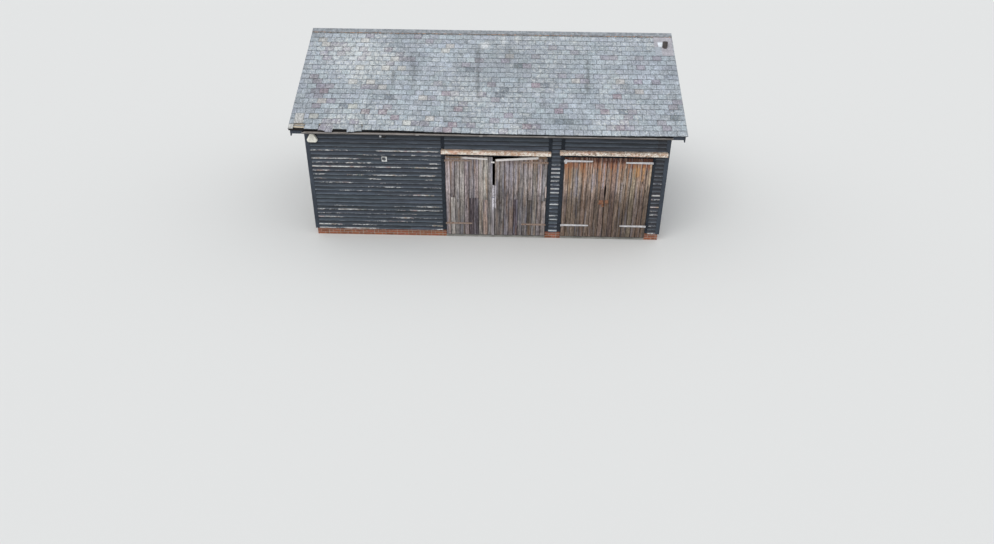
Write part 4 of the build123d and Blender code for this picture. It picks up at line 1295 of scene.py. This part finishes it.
def peeling_finish(doors):
    """Pale paint peeling off a timber that runs along X."""
    finish = Finish("peeling_lintel_paint", roughness=0.75, specular=0.25)
    grain = finish.noise((6.0, 40.0, 40.0), detail=6, roughness=0.75)
    flakes = finish.noise((13.0, 15.0, 15.0), detail=7, roughness=0.82, distortion=0.6)
    broad = finish.noise((3.0, 5.0, 5.0), detail=4, roughness=0.7)
    paint = finish.mix(finish.step(grain, 0.35, 0.65), four(doors.lintel), shade(248, 240, 228))
    wood = finish.mix(finish.step(grain, 0.35, 0.65), shade(178, 140, 114), shade(222, 188, 160))
    peel = finish.maths("ADD", finish.product(flakes, 0.75), finish.product(broad, 0.25))
    upper = finish.spread(finish.step(finish.z, 2.63, 2.70), -0.010, 0.015)
    share = finish.step(finish.maths("ADD", peel, upper), 0.495, 0.520)
    shown = finish.mix(share, paint, wood)
    rose = finish.product(finish.step(finish.noise((1.6, 3.0, 3.0), detail=3), 0.52, 0.64), 0.4)
    shown = finish.mix(rose, shown, shade(232, 164, 134))
    veins = finish.noise((8.0, 26.0, 26.0), detail=5, roughness=0.72, distortion=1.6)
    right_lintel = (finish.x, 1.95, 4.70)
    cracked = finish.product(finish.window(*right_lintel, 0.4), finish.step(veins, 0.515, 0.565), 0.92)
    shown = finish.mix(cracked, shown, shade(112, 92, 78))
    bright = finish.product(finish.window(*right_lintel, 0.5), finish.step(veins, 0.46, 0.41), 0.7)
    shown = finish.mix(bright, shown, shade(255, 250, 240))
    specks = finish.noise((19.0, 22.0, 22.0), detail=5, roughness=0.8)
    shown = finish.laid(shown, shade(100, 80, 66), finish.step(specks, 0.57, 0.64), 0.75)
    light = finish.product(finish.step(specks, 0.44, 0.38), 0.7)
    shown = finish.mix(light, shown, shade(255, 250, 242))
    finish.bump(finish.maths("SUBTRACT", grain, share), 0.004)
    return finish.done(shown)


# How far the left and the right end of each lintel sit above its place in the frame
LINTEL_RISE = (("lintel_left", 0.020, 0.000), ("lintel_right", 0.042, 0.036))
# How deep a lintel is worn, how round its arrises are, and the length at each end that isn't worn
LINTEL_WEAR = 0.007
LINTEL_ROUNDING = 0.006
SOUND_END = 0.02


def worn_timber(low, high, seed):
    """Bmesh of a lintel with worn, uneven arrises."""
    bm = bmesh.new()
    divide(bm, long_edges(block(bm, low, high), 0, (high.x - low.x) / 2), 60)
    soften(bm, arrises(bm, 1.0), LINTEL_ROUNDING, segments=2)
    middle = (low + high) / 2
    for vert in bm.verts:
        if low.x + SOUND_END < vert.co.x < high.x - SOUND_END:
            rough = noise.noise(Vector((vert.co.x * 5, vert.co.y * 9 + seed, vert.co.z * 9)))
            inward = Vector((0, middle.y - vert.co.y, middle.z - vert.co.z)).normalized()
            vert.co += inward * abs(LINTEL_WEAR * rough)
    return bm


class BARN_OT_set_lintels(Operator):
    """Sets the two weathered lintels over the doorways"""
    bl_idname = "barn.set_lintels"
    bl_label = "Set lintels"

    def execute(self, context):
        material = peeling_finish(context.scene.barn_doors)
        for seed, (node, left_rise, right_rise) in enumerate(LINTEL_RISE):
            low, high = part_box(node)
            bm = worn_timber(low, high, seed * 7.0)
            for vert in bm.verts:
                along = (vert.co.x - low.x) / (high.x - low.x)
                vert.co.z += left_rise + (right_rise - left_rise) * along
            piece(bm, f"{node}_timber", material, replaces=(node,), smooth=40)
        return {"FINISHED"}


def metal_finish(name, colour, rust, rusted, roughness, metallic):
    """Iron or zinc-coated steel with rust on a share of it."""
    finish = Finish(name, roughness=roughness, metallic=metallic, specular=0.4)
    cloud = finish.noise(17.0, detail=5, roughness=0.7)
    fine = finish.noise(90.0, detail=4, roughness=0.7)
    shown = finish.clouded(four(colour), cloud, 0.3, 0.7, 0.75, 1.15)
    shown = finish.mix(finish.step(cloud, 0.78 - rusted, 0.92 - rusted), shown, four(rust))
    shown = finish.clouded(shown, fine, 0.3, 0.7, 0.85, 1.12)
    finish.bump(fine, 0.0015)
    return finish.done(shown)


# Depth of the boards that are nailed along the leaves' tops
TOP_BOARD_DEPTH = 0.012
# Plates on the doors: left, right, bottom, top and thickness, and turn in degrees
CORNER_PLATE = (2.166, 2.232, 2.345, 2.470, 0.0045, 4)
HASP_PLATE = (3.208, 3.334, 1.178, 1.258, 0.0040, 3)
STAPLE_PLATE = (3.378, 3.470, 1.158, 1.262, 0.0050, -6)
TOP_PLATE = (0.112, 0.208, 2.330, 2.370, TOP_BOARD_DEPTH, 8)


def flat_plate(bm, left, right, low, high, thickness, turn):
    """A thin plate with round corners on the face of the doors, turned in its own plane."""
    before = len(bm.verts)
    block(
        bm, (left, DOOR_FACE - thickness, low), (right, DOOR_FACE, high),
        Matrix.Rotation(math.radians(turn), 4, "Y"))
    across = long_edges(newest(bm, before), 1, 0.5 * thickness)
    soften(bm, across, 0.2 * min(right - left, high - low), segments=2)


# Links of the chain: the middle of each, and its turn in degrees
CHAIN_LINKS = ((3.402, -3.548, 1.176, 20), (3.416, -3.550, 1.140, 75), (3.409, -3.550, 1.106, 15))
LINK_RADIUS = 0.017
LINK_WIRE = 0.0035


def link(bm, place, turn):
    """One round chain link that lies level."""
    spot = Matrix.Translation(place) @ Matrix.Rotation(math.radians(turn), 4, "Z")
    start = Matrix.Translation((LINK_RADIUS, 0, 0)) @ Matrix.Rotation(math.radians(90), 4, "X")
    rim = bmesh.ops.create_circle(bm, segments=6, radius=LINK_WIRE, matrix=spot @ start)["verts"]
    bmesh.ops.spin(
        bm, geom=rim + edges_among(rim), cent=place, axis=(0, 0, 1), dvec=(0, 0, 0),
        angle=math.radians(360), steps=10, use_merge=True)


# Places of the bolts, as shares of a strap's length
BOLTS = (0.16, 0.42, 0.68, 0.90)


def bolt_heads(bm, straps):
    """Bolt heads along the straps of one leaf."""
    low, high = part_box(straps)
    lower = LEDGE_LEVELS[0]
    upper = high.z - (lower - low.z)
    for level in (lower, upper):
        for share in BOLTS:
            place = (low.x + share * (high.x - low.x), low.y - 0.0015, level)
            round_head(bm, place, 0.010, 0.008, 0.007)


def strip_finish():
    """Bare wood of the meeting strip, with whitewash low down and a blue band."""
    finish = Finish("peeling_strip_paint", roughness=0.75, specular=0.25)
    flakes = finish.noise((30.0, 30.0, 12.0), detail=6, roughness=0.78)
    wood = finish.noise((60.0, 60.0, 3.0), detail=4)
    bare = finish.mix(finish.step(wood, 0.35, 0.65), shade(112, 106, 108), shade(168, 162, 164))
    whitewash = finish.maths("ADD", flakes, finish.product(finish.step(finish.z, 1.34, 1.24), 0.05))
    whitened = finish.product(
        finish.step(whitewash, 0.47, 0.54), finish.step(finish.x, 0.138, 0.152),
        finish.step(finish.z, 0.80, 1.05))
    shown = finish.mix(whitened, bare, shade(214, 210, 216))
    band = finish.product(finish.window(finish.z, 1.275, 1.300, 0.008), 0.8)
    shown = finish.mix(band, shown, shade(62, 74, 96))
    finish.bump(flakes, 0.003)
    return finish.done(shown)


class BARN_OT_fit_ironwork(Operator):
    """Finishes hinges, pins, padlock and meeting strip, and adds bolts, plates and chain"""
    bl_idname = "barn.fit_ironwork"
    bl_label = "Fit ironwork"

    def execute(self, context):
        doors = context.scene.barn_doors
        rusty = metal_finish("rusty_iron", shade(158, 140, 128), doors.rust, 0.30, 0.8, 0.0)
        zinc = metal_finish("zinc_coating", doors.zinc, doors.rust, 0.10, 0.5, 0.2)
        red_rust = metal_finish("red_rust", shade(164, 122, 94), shade(120, 76, 58), 0.34, 0.9, 0.0)
        coat(rusty, "left_bay_left_straps", "left_bay_right_straps")
        paint = [channel * 0.5 for channel in context.scene.barn_boarding.paint]
        coat(metal_finish("painted_pins", (*paint, 1.0), doors.rust, 0.16, 0.6, 0.0), "hinge_pins")
        coat(red_rust, "hasp_and_padlock")
        coat(zinc, "right_bay_left_straps", "right_bay_right_straps")
        for name in LEAVES:
            bm = bmesh.new()
            bolt_heads(bm, f"{name}_straps")
            left_bay = name.startswith("left_bay")
            if name == "right_bay_left":
                flat_plate(bm, *CORNER_PLATE)
                plate = bmesh.new()
                flat_plate(plate, *HASP_PLATE)
                piece(plate, "hasp_plate", red_rust, body="right_bay_left_door")
            piece(
                bm, f"{name}_bolts", rusty if left_bay else zinc,
                body=f"{name}_door")
        bm = bmesh.new()
        flat_plate(bm, *STAPLE_PLATE)
        for x, y, z, turn in CHAIN_LINKS:
            link(bm, (x, y, z), turn)
        piece(bm, "staple_and_chain", red_rust, body="right_bay_right_door", smooth=40)
        coat(strip_finish(), "meeting_strip")
        return {"FINISHED"}


def top_board_finish(doors):
    """Whitish paint that is gone from the outer ends of the boards."""
    finish = Finish("top_board_wood", roughness=0.8, specular=0.2)
    grain = finish.noise((4.0, 60.0, 60.0), detail=5, roughness=0.7)
    blotch = finish.noise((14.0, 24.0, 24.0), detail=5, roughness=0.75)
    white = finish.clouded(four(doors.top_board), grain, 0.32, 0.68, 0.78, 1.12)
    brown = finish.clouded(shade(134, 112, 92), grain, 0.32, 0.68, 0.55, 1.25)
    browned = finish.maths(
        "MAXIMUM", finish.step(finish.x, -0.62, -0.78), finish.step(finish.x, 1.40, 1.46))
    shown = finish.mix(browned, white, brown)
    shown = finish.laid(shown, shade(112, 96, 84), finish.step(blotch, 0.60, 0.68), 0.6)
    finish.bump(grain, 0.002)
    return finish.done(shown)


# Boards along the tops of leaves: left and right end, height at each, and width
TOP_BOARDS = (
    ("left_bay_left", -1.150, 0.015, 2.487, 2.440, 0.044),
    ("left_bay_right", 0.238, 1.655, 2.412, 2.506, 0.062),
)


class BARN_OT_nail_top_boards(Operator):
    """Nails the old whitish boards along the tops of the left bay's leaves"""
    bl_idname = "barn.nail_top_boards"
    bl_label = "Nail top boards"

    def execute(self, context):
        material = top_board_finish(context.scene.barn_doors)
        for name, left, right, left_z, right_z, width in TOP_BOARDS:
            bm = bmesh.new()
            lean = Matrix.Rotation(math.atan2(left_z - right_z, right - left), 4, "Y")
            middle = Vector(
                ((left + right) / 2, DOOR_FACE - TOP_BOARD_DEPTH / 2, (left_z + right_z) / 2))
            half = Vector((right - left, TOP_BOARD_DEPTH, width)) / 2
            verts = block(bm, middle - half, middle + half, lean)
            divide(bm, long_edges(verts, 0, 0.5), 11)
            for vert in bm.verts:
                vert.co.z += 0.005 * noise.noise(Vector((vert.co.x * 3.0, vert.co.z * 9, left)))
            soften(bm, arrises(bm), 0.002)
            if name == "left_bay_left":
                flat_plate(bm, *TOP_PLATE)
            piece(
                bm, f"{name}_top_board", material, body=f"{name}_door",
                smooth=40)
        return {"FINISHED"}


# Where lengths of gutter join
GUTTER_SLEEVES = (-1.887, -0.157, 1.595)


def gutter_finish(fittings):
    """Gutter paint, paler up the front and at the sleeves; painted highlight on the lip, painted shade
    inside at the back.
    """
    finish = Finish("gutter_paint", roughness=0.5)
    cloud = finish.noise((2.5, 20.0, 20.0), detail=6, roughness=0.7)
    away = finish.away(finish.y)
    radius = finish.radius(
        finish.maths("SUBTRACT", away, GUTTER_Y), finish.maths("SUBTRACT", finish.z, GUTTER_Z))
    outside = finish.product(
        finish.step(radius, GUTTER_RADIUS, GUTTER_RADIUS + 0.0007), finish.step(away, 3.790, 3.800))
    faded = finish.mix(
        finish.step(finish.z, 3.172, 3.206), four(fittings.gutter), four(fittings.gutter_front))
    faded = finish.clouded(faded, cloud, 0.34, 0.66, 0.66, 1.22)
    # Paler, broken lip: a painted highlight along the gutter's rolled edge.
    lip = finish.product(finish.step(finish.z, 3.210, 3.216), finish.step(cloud, 0.40, 0.52))
    faded = finish.mix(lip, faded, four(fittings.gutter_lip))
    for sleeve in GUTTER_SLEEVES:
        around = finish.product(finish.window(finish.x, sleeve - 0.045, sleeve + 0.045, 0.006), 0.6)
        faded = finish.mix(around, faded, four(fittings.gutter_lip))
    # Inside: painted shade under the slates' tails at the back, grey towards the front.
    inside = finish.mix(finish.step(away, 3.782, 3.800), shade(22, 23, 25), shade(128, 122, 118))
    inside = finish.clouded(inside, cloud, 0.34, 0.66, 0.6, 1.2)
    shown = finish.mix(outside, inside, faded)
    finish.bump(cloud, 0.001)
    return finish.done(shown)


# Silt in the gutters: half its length, half its width and its thickness
SILT = (4.990, 0.052, 0.008)
# Its highest level, how far it falls, and the X from which and the length over which it does in front
SILT_LEVEL = 3.209
SILT_FALL = 0.020
FALL_START = -2.4
FALL_LENGTH = 3.0


class BARN_OT_hang_gutters(Operator):
    """Finishes the gutters and lays silt in them"""
    bl_idname = "barn.hang_gutters"
    bl_label = "Hang gutters"

    def execute(self, context):
        coat(gutter_finish(context.scene.barn_fittings), "gutter_front", "gutter_back")
        silt = stone_finish("gutter_silt", shade(138, 130, 124), 14.0)
        reach, half_width, thickness = SILT
        for side in (-1, 1):
            bm = bmesh.new()
            verts = block(bm, (-reach, -half_width, -thickness), (reach, half_width, 0.0))
            divide(bm, long_edges(verts, 0, 1), 120)
            for vert in bm.verts:
                along = min(max((vert.co.x - FALL_START) / FALL_LENGTH, 0.0), 1.0)
                level = SILT_LEVEL - SILT_FALL * (along if side < 0 else 0.6)
                level += 0.004 * noise.noise(Vector((vert.co.x * 4, vert.co.y * 30, side)))
                vert.co = Vector((vert.co.x, side * (GUTTER_Y + vert.co.y), level + vert.co.z))
            if side > 0:
                bmesh.ops.reverse_faces(bm, faces=bm.faces[:])
            name = "gutter_front_silt" if side < 0 else "gutter_back_silt"
            piece(bm, name, silt, smooth=60)
        return {"FINISHED"}


def brick_finish(fittings):
    """Old red bricks, each of its own tone, with sooty and limy patches."""
    finish = Finish("old_brick", roughness=0.88, specular=0.2)
    tone, seed = finish.tone()
    cloud = finish.noise(26.0, seed, detail=6, roughness=0.7)
    pits = finish.noise(130.0, seed, detail=4, roughness=0.7)
    shown = finish.clouded(tone, cloud, 0.3, 0.7, 0.7, 1.2)
    shown = finish.laid(shown, four(fittings.mortar), finish.step(cloud, 0.60, 0.74), 0.5)
    shown = finish.laid(shown, shade(70, 52, 48), finish.step(cloud, 0.42, 0.30), 0.5)
    finish.bump(pits, 0.003)
    return finish.done(shown)


def stone_finish(name, colour, scale):
    """Concrete or mortar."""
    finish = Finish(name, roughness=0.92, specular=0.2)
    cloud = finish.noise(scale, detail=6, roughness=0.7)
    fine = finish.noise(scale * 14, detail=4, roughness=0.7)
    shown = finish.clouded(four(colour), cloud, 0.3, 0.7, 0.75, 1.12)
    shown = finish.clouded(shown, fine, 0.3, 0.7, 0.88, 1.08)
    finish.bump(fine, 0.002)
    return finish.done(shown)


# Lengths of the plinth: wall, and left and right end as seen from outside
PLINTH_RUNS = (
    ("front", -FACE_X, LEFT_JAMB), ("front", *PIER), ("front", RIGHT_JAMB, FACE_X),
    ("back", -FACE_X, FACE_X), ("left", -FACE_Y, FACE_Y), ("right", -FACE_Y, FACE_Y),
)
PLINTH_COURSES = 3
BRICK_RISE = 0.075
BRICK_JOINT = 0.010
STRETCHER = 0.215
HEADER = 0.1025
BRICK_DEPTH = 0.030


def brick_run(bm, rng, colour, wall, left, right):
    """Flemish bond between two ends of a wall."""
    place = wall_frame(wall)
    for course in range(PLINTH_COURSES):
        low = course * BRICK_RISE
        cursor, stretcher = left, course % 2 == 0
        while cursor < right - 0.02:
            width = STRETCHER if stretcher else HEADER
            end = min(cursor + width, right)
            if right - end < 0.04:
                end = right
            proud = rng.uniform(0.0015, 0.004)
            verts = block(
                bm, (cursor, low + BRICK_JOINT / 2, -BRICK_DEPTH),
                (end, low + BRICK_RISE - BRICK_JOINT / 2, proud),
                Matrix.Rotation(rng.gauss(0, 0.004), 4, "Z"))
            give_tone(bm, verts, varied(rng, colour, 0.2, 0.06), rng.random())
            bmesh.ops.transform(bm, matrix=place, verts=verts)
            cursor = end + BRICK_JOINT
            stretcher = not stretcher


class BARN_OT_lay_bricks(Operator):
    """Lays the facing bricks of the plinth and finishes its mortar and the floor"""
    bl_idname = "barn.lay_bricks"
    bl_label = "Lay bricks"

    def execute(self, context):
        fittings = context.scene.barn_fittings
        rng = random.Random(BRICK_SEED)
        bm = bmesh.new()
        bm.verts.layers.float_color.new("tone")
        for wall, left, right in PLINTH_RUNS:
            brick_run(bm, rng, fittings.brick, wall, left, right)
        soften(bm, bm.edges[:], 0.003)
        piece(bm, "plinth_bricks", brick_finish(fittings))
        coat(
            stone_finish("plinth_mortar", fittings.mortar, 9.0),
            "plinth_front", "plinth_back", "plinth_left", "plinth_right")
        coat(stone_finish("floor_concrete", fittings.concrete, 3.0), "floor_slab")
        return {"FINISHED"}


def vent_finish(fittings):
    """White plastic, with painted shade in the opening inside its rim."""
    finish = Finish("vent_plastic", roughness=0.5)
    rim = finish.shaded(four(fittings.white), finish.noise(40.0, detail=3), 0.85, 1.0)
    low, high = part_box("wall_vent")
    middle = (low + high) / 2
    # Painted shade where the vent's hollow opening is.
    opening = finish.product(
        finish.window(finish.x, middle.x - 0.060, middle.x + 0.036, 0.005),
        finish.window(finish.z, middle.z - 0.024, middle.z + 0.056, 0.005))
    return finish.done(finish.mix(opening, rim, shade(36, 38, 42)))


def lamp_finish(fittings):
    """White plastic with a dark head."""
    finish = Finish("lamp_plastic", roughness=0.4)
    head = finish.step(finish.x, -2.900, -2.890)
    pale = finish.shaded(four(fittings.white), finish.noise(40.0, detail=3), 0.9, 1.0)
    return finish.done(finish.mix(head, pale, shade(34, 34, 36)))


def lead_finish(fittings):
    """Lead sheet round the roof's pipe, partly limy, and the pipe's own clay."""
    finish = Finish("lead_and_clay", roughness=0.7)
    cloud = finish.noise(8.0, detail=6, roughness=0.7)
    grain = finish.noise(27.0, detail=5, roughness=0.75)
    sheet = finish.clouded(four(fittings.lead), cloud, 0.3, 0.7, 0.84, 1.12)
    lean = finish.maths(
        "SUBTRACT", finish.x, finish.product(finish.maths("SUBTRACT", 5.02, finish.z), 0.12))
    course = finish.product(finish.window(finish.z, 4.848, 4.852, 0.006), 0.55)
    sheet = finish.mix(course, sheet, shade(96, 98, 100))
    slaty = finish.product(finish.step(finish.x, 5.08, 5.04), finish.step(finish.z, 4.94, 4.91), 0.8)
    sheet = finish.mix(slaty, sheet, shade(160, 168, 176))
    sheet = finish.clouded(sheet, grain, 0.35, 0.65, 0.78, 1.14)
    limy = finish.product(
        finish.step(finish.x, 5.13, 5.09), finish.step(lean, 4.958, 4.972),
        finish.window(finish.z, 4.93, 5.02, 0.02), finish.step(cloud, 0.34, 0.42))
    sheet = finish.mix(limy, sheet, shade(222, 228, 234))
    radius = finish.radius(
        finish.maths("SUBTRACT", finish.x, PIPE_X), finish.maths("SUBTRACT", finish.y, PIPE_Y))
    pipe = finish.clouded(four(fittings.pipe_clay), cloud, 0.3, 0.7, 0.7, 1.3)
    finish.bump(cloud, 0.003)
    return finish.done(finish.mix(finish.step(radius, 0.082, 0.076), sheet, pipe))


class BARN_OT_finish_fittings(Operator):
    """Finishes the alarm box, lamp, wall vent and the pipe through the roof"""
    bl_idname = "barn.finish_fittings"
    bl_label = "Finish fittings"

    def execute(self, context):
        fittings = context.scene.barn_fittings
        coat(stone_finish("cream_plastic", fittings.cream, 7.0), "alarm_box")
        coat(vent_finish(fittings), "wall_vent")
        coat(lamp_finish(fittings), "wall_lamp")
        coat(lead_finish(fittings), "roof_vent")
        return {"FINISHED"}


# The camera's place in metres, turns of the camera and the sun, and the sun's width, in degrees
CAMERA_PLACE = (0.6425, -22.3070, 9.4784)
CAMERA_TURN = (60.4251, -0.5695, 1.3331)
SUN_TURN = (38, 0, -28)
SUN_WIDTH = 40


def lay_floor(scene, stage):
    """Level ground under the barn."""
    bm = bmesh.new()
    bmesh.ops.create_grid(bm, x_segments=1, y_segments=1, size=stage.floor_size / 2)
    mesh = bpy.data.meshes.new("stage_floor")
    bm.to_mesh(mesh)
    bm.free()
    finish = Finish("stage_floor", roughness=0.95, specular=0.1)
    mesh.materials.append(finish.done(four(stage.floor)))
    floor = bpy.data.objects.new("stage_floor", mesh)
    scene.collection.objects.link(floor)


def sky(stage):
    """An overcast sky, lighter overhead, that shows as plain white."""
    world = bpy.data.worlds.new("sky")
    world.use_nodes = True
    tree = world.node_tree
    background = tree.nodes["Background"]
    background.inputs["Strength"].default_value = stage.sky_strength
    coords = tree.nodes.new("ShaderNodeTexCoord")
    axes = tree.nodes.new("ShaderNodeSeparateXYZ")
    tree.links.new(coords.outputs["Generated"], axes.inputs[0])
    dome = tree.nodes.new("ShaderNodeValToRGB")
    dome.color_ramp.elements[0].color = shade(196, 200, 206)
    dome.color_ramp.elements[1].color = (1.10, 1.12, 1.15, 1)
    tree.links.new(axes.outputs[2], dome.inputs[0])
    rays = tree.nodes.new("ShaderNodeLightPath")
    seen = rays.outputs["Is Camera Ray"]
    for other in ("Is Glossy Ray", "Is Transmission Ray"):
        either = tree.nodes.new("ShaderNodeMath")
        either.operation = "MAXIMUM"
        tree.links.new(seen, either.inputs[0])
        tree.links.new(rays.outputs[other], either.inputs[1])
        seen = either.outputs[0]
    mix = tree.nodes.new("ShaderNodeMix")
    mix.data_type = "RGBA"
    tree.links.new(seen, mix.inputs[0])
    tree.links.new(dome.outputs[0], mix.inputs[6])
    mix.inputs[7].default_value = (1, 1, 1, 1)
    tree.links.new(mix.outputs[2], background.inputs["Color"])
    return world


def stand(scene, name, data, turn, place=(0, 0, 0)):
    """A light or a camera at a place, turned by degrees."""
    made = bpy.data.objects.new(name, data)
    made.location = place
    made.rotation_euler = [math.radians(angle) for angle in turn]
    scene.collection.objects.link(made)
    return made


class BARN_OT_set_stage(Operator):
    """Sets the floor, the sky, the sun and the camera"""
    bl_idname = "barn.set_stage"
    bl_label = "Set stage"

    def execute(self, context):
        scene = context.scene
        stage = scene.barn_stage
        lay_floor(scene, stage)
        scene.world = sky(stage)
        light = bpy.data.lights.new("soft_sun", "SUN")
        light.energy = stage.sun_strength
        light.angle = math.radians(SUN_WIDTH)
        light.color = (1.0, 0.985, 0.96)
        stand(scene, "soft_sun", light, SUN_TURN)
        lens = bpy.data.cameras.new("camera")
        lens.lens = stage.lens
        lens.sensor_width = 36
        scene.camera = stand(scene, "camera", lens, CAMERA_TURN, CAMERA_PLACE)
        scene.view_settings.view_transform = "Standard"
        return {"FINISHED"}


OPERATORS = (
    BARN_OT_lay_slates,
    BARN_OT_bed_ridge,
    BARN_OT_hang_boards,
    BARN_OT_finish_frame,
    BARN_OT_hang_doors,
    BARN_OT_set_lintels,
    BARN_OT_fit_ironwork,
    BARN_OT_nail_top_boards,
    BARN_OT_hang_gutters,
    BARN_OT_lay_bricks,
    BARN_OT_finish_fittings,
    BARN_OT_set_stage,
)
SETTINGS = {
    "barn_roof": RoofSettings,
    "barn_boarding": BoardingSettings,
    "barn_doors": DoorSettings,
    "barn_fittings": FittingSettings,
    "barn_stage": StageSettings,
}


class BARN_PT_steps(Panel):
    """The barn's pieces, in the order in which they are made"""
    bl_idname = "BARN_PT_steps"
    bl_label = "Boarded barn"
    bl_space_type = "VIEW_3D"
    bl_region_type = "UI"
    bl_category = "Barn"

    def draw(self, context):
        for name, group in SETTINGS.items():
            box = self.layout.box()
            box.label(text=group.__doc__)
            for setting in group.__annotations__:
                box.prop(getattr(context.scene, name), setting)
        for operator in OPERATORS:
            self.layout.operator(operator.bl_idname)


def register():
    for kind in (*SETTINGS.values(), *OPERATORS, BARN_PT_steps):
        bpy.utils.register_class(kind)
    for name, group in SETTINGS.items():
        setattr(bpy.types.Scene, name, PointerProperty(type=group))


def unregister():
    for name in SETTINGS:
        delattr(bpy.types.Scene, name)
    for kind in reversed((*SETTINGS.values(), *OPERATORS, BARN_PT_steps)):
        bpy.utils.unregister_class(kind)


def main():
    register()
    for operator in OPERATORS:
        group, name = operator.bl_idname.split(".")
        getattr(getattr(bpy.ops, group), name)()


if __name__ == "__main__":
    main()
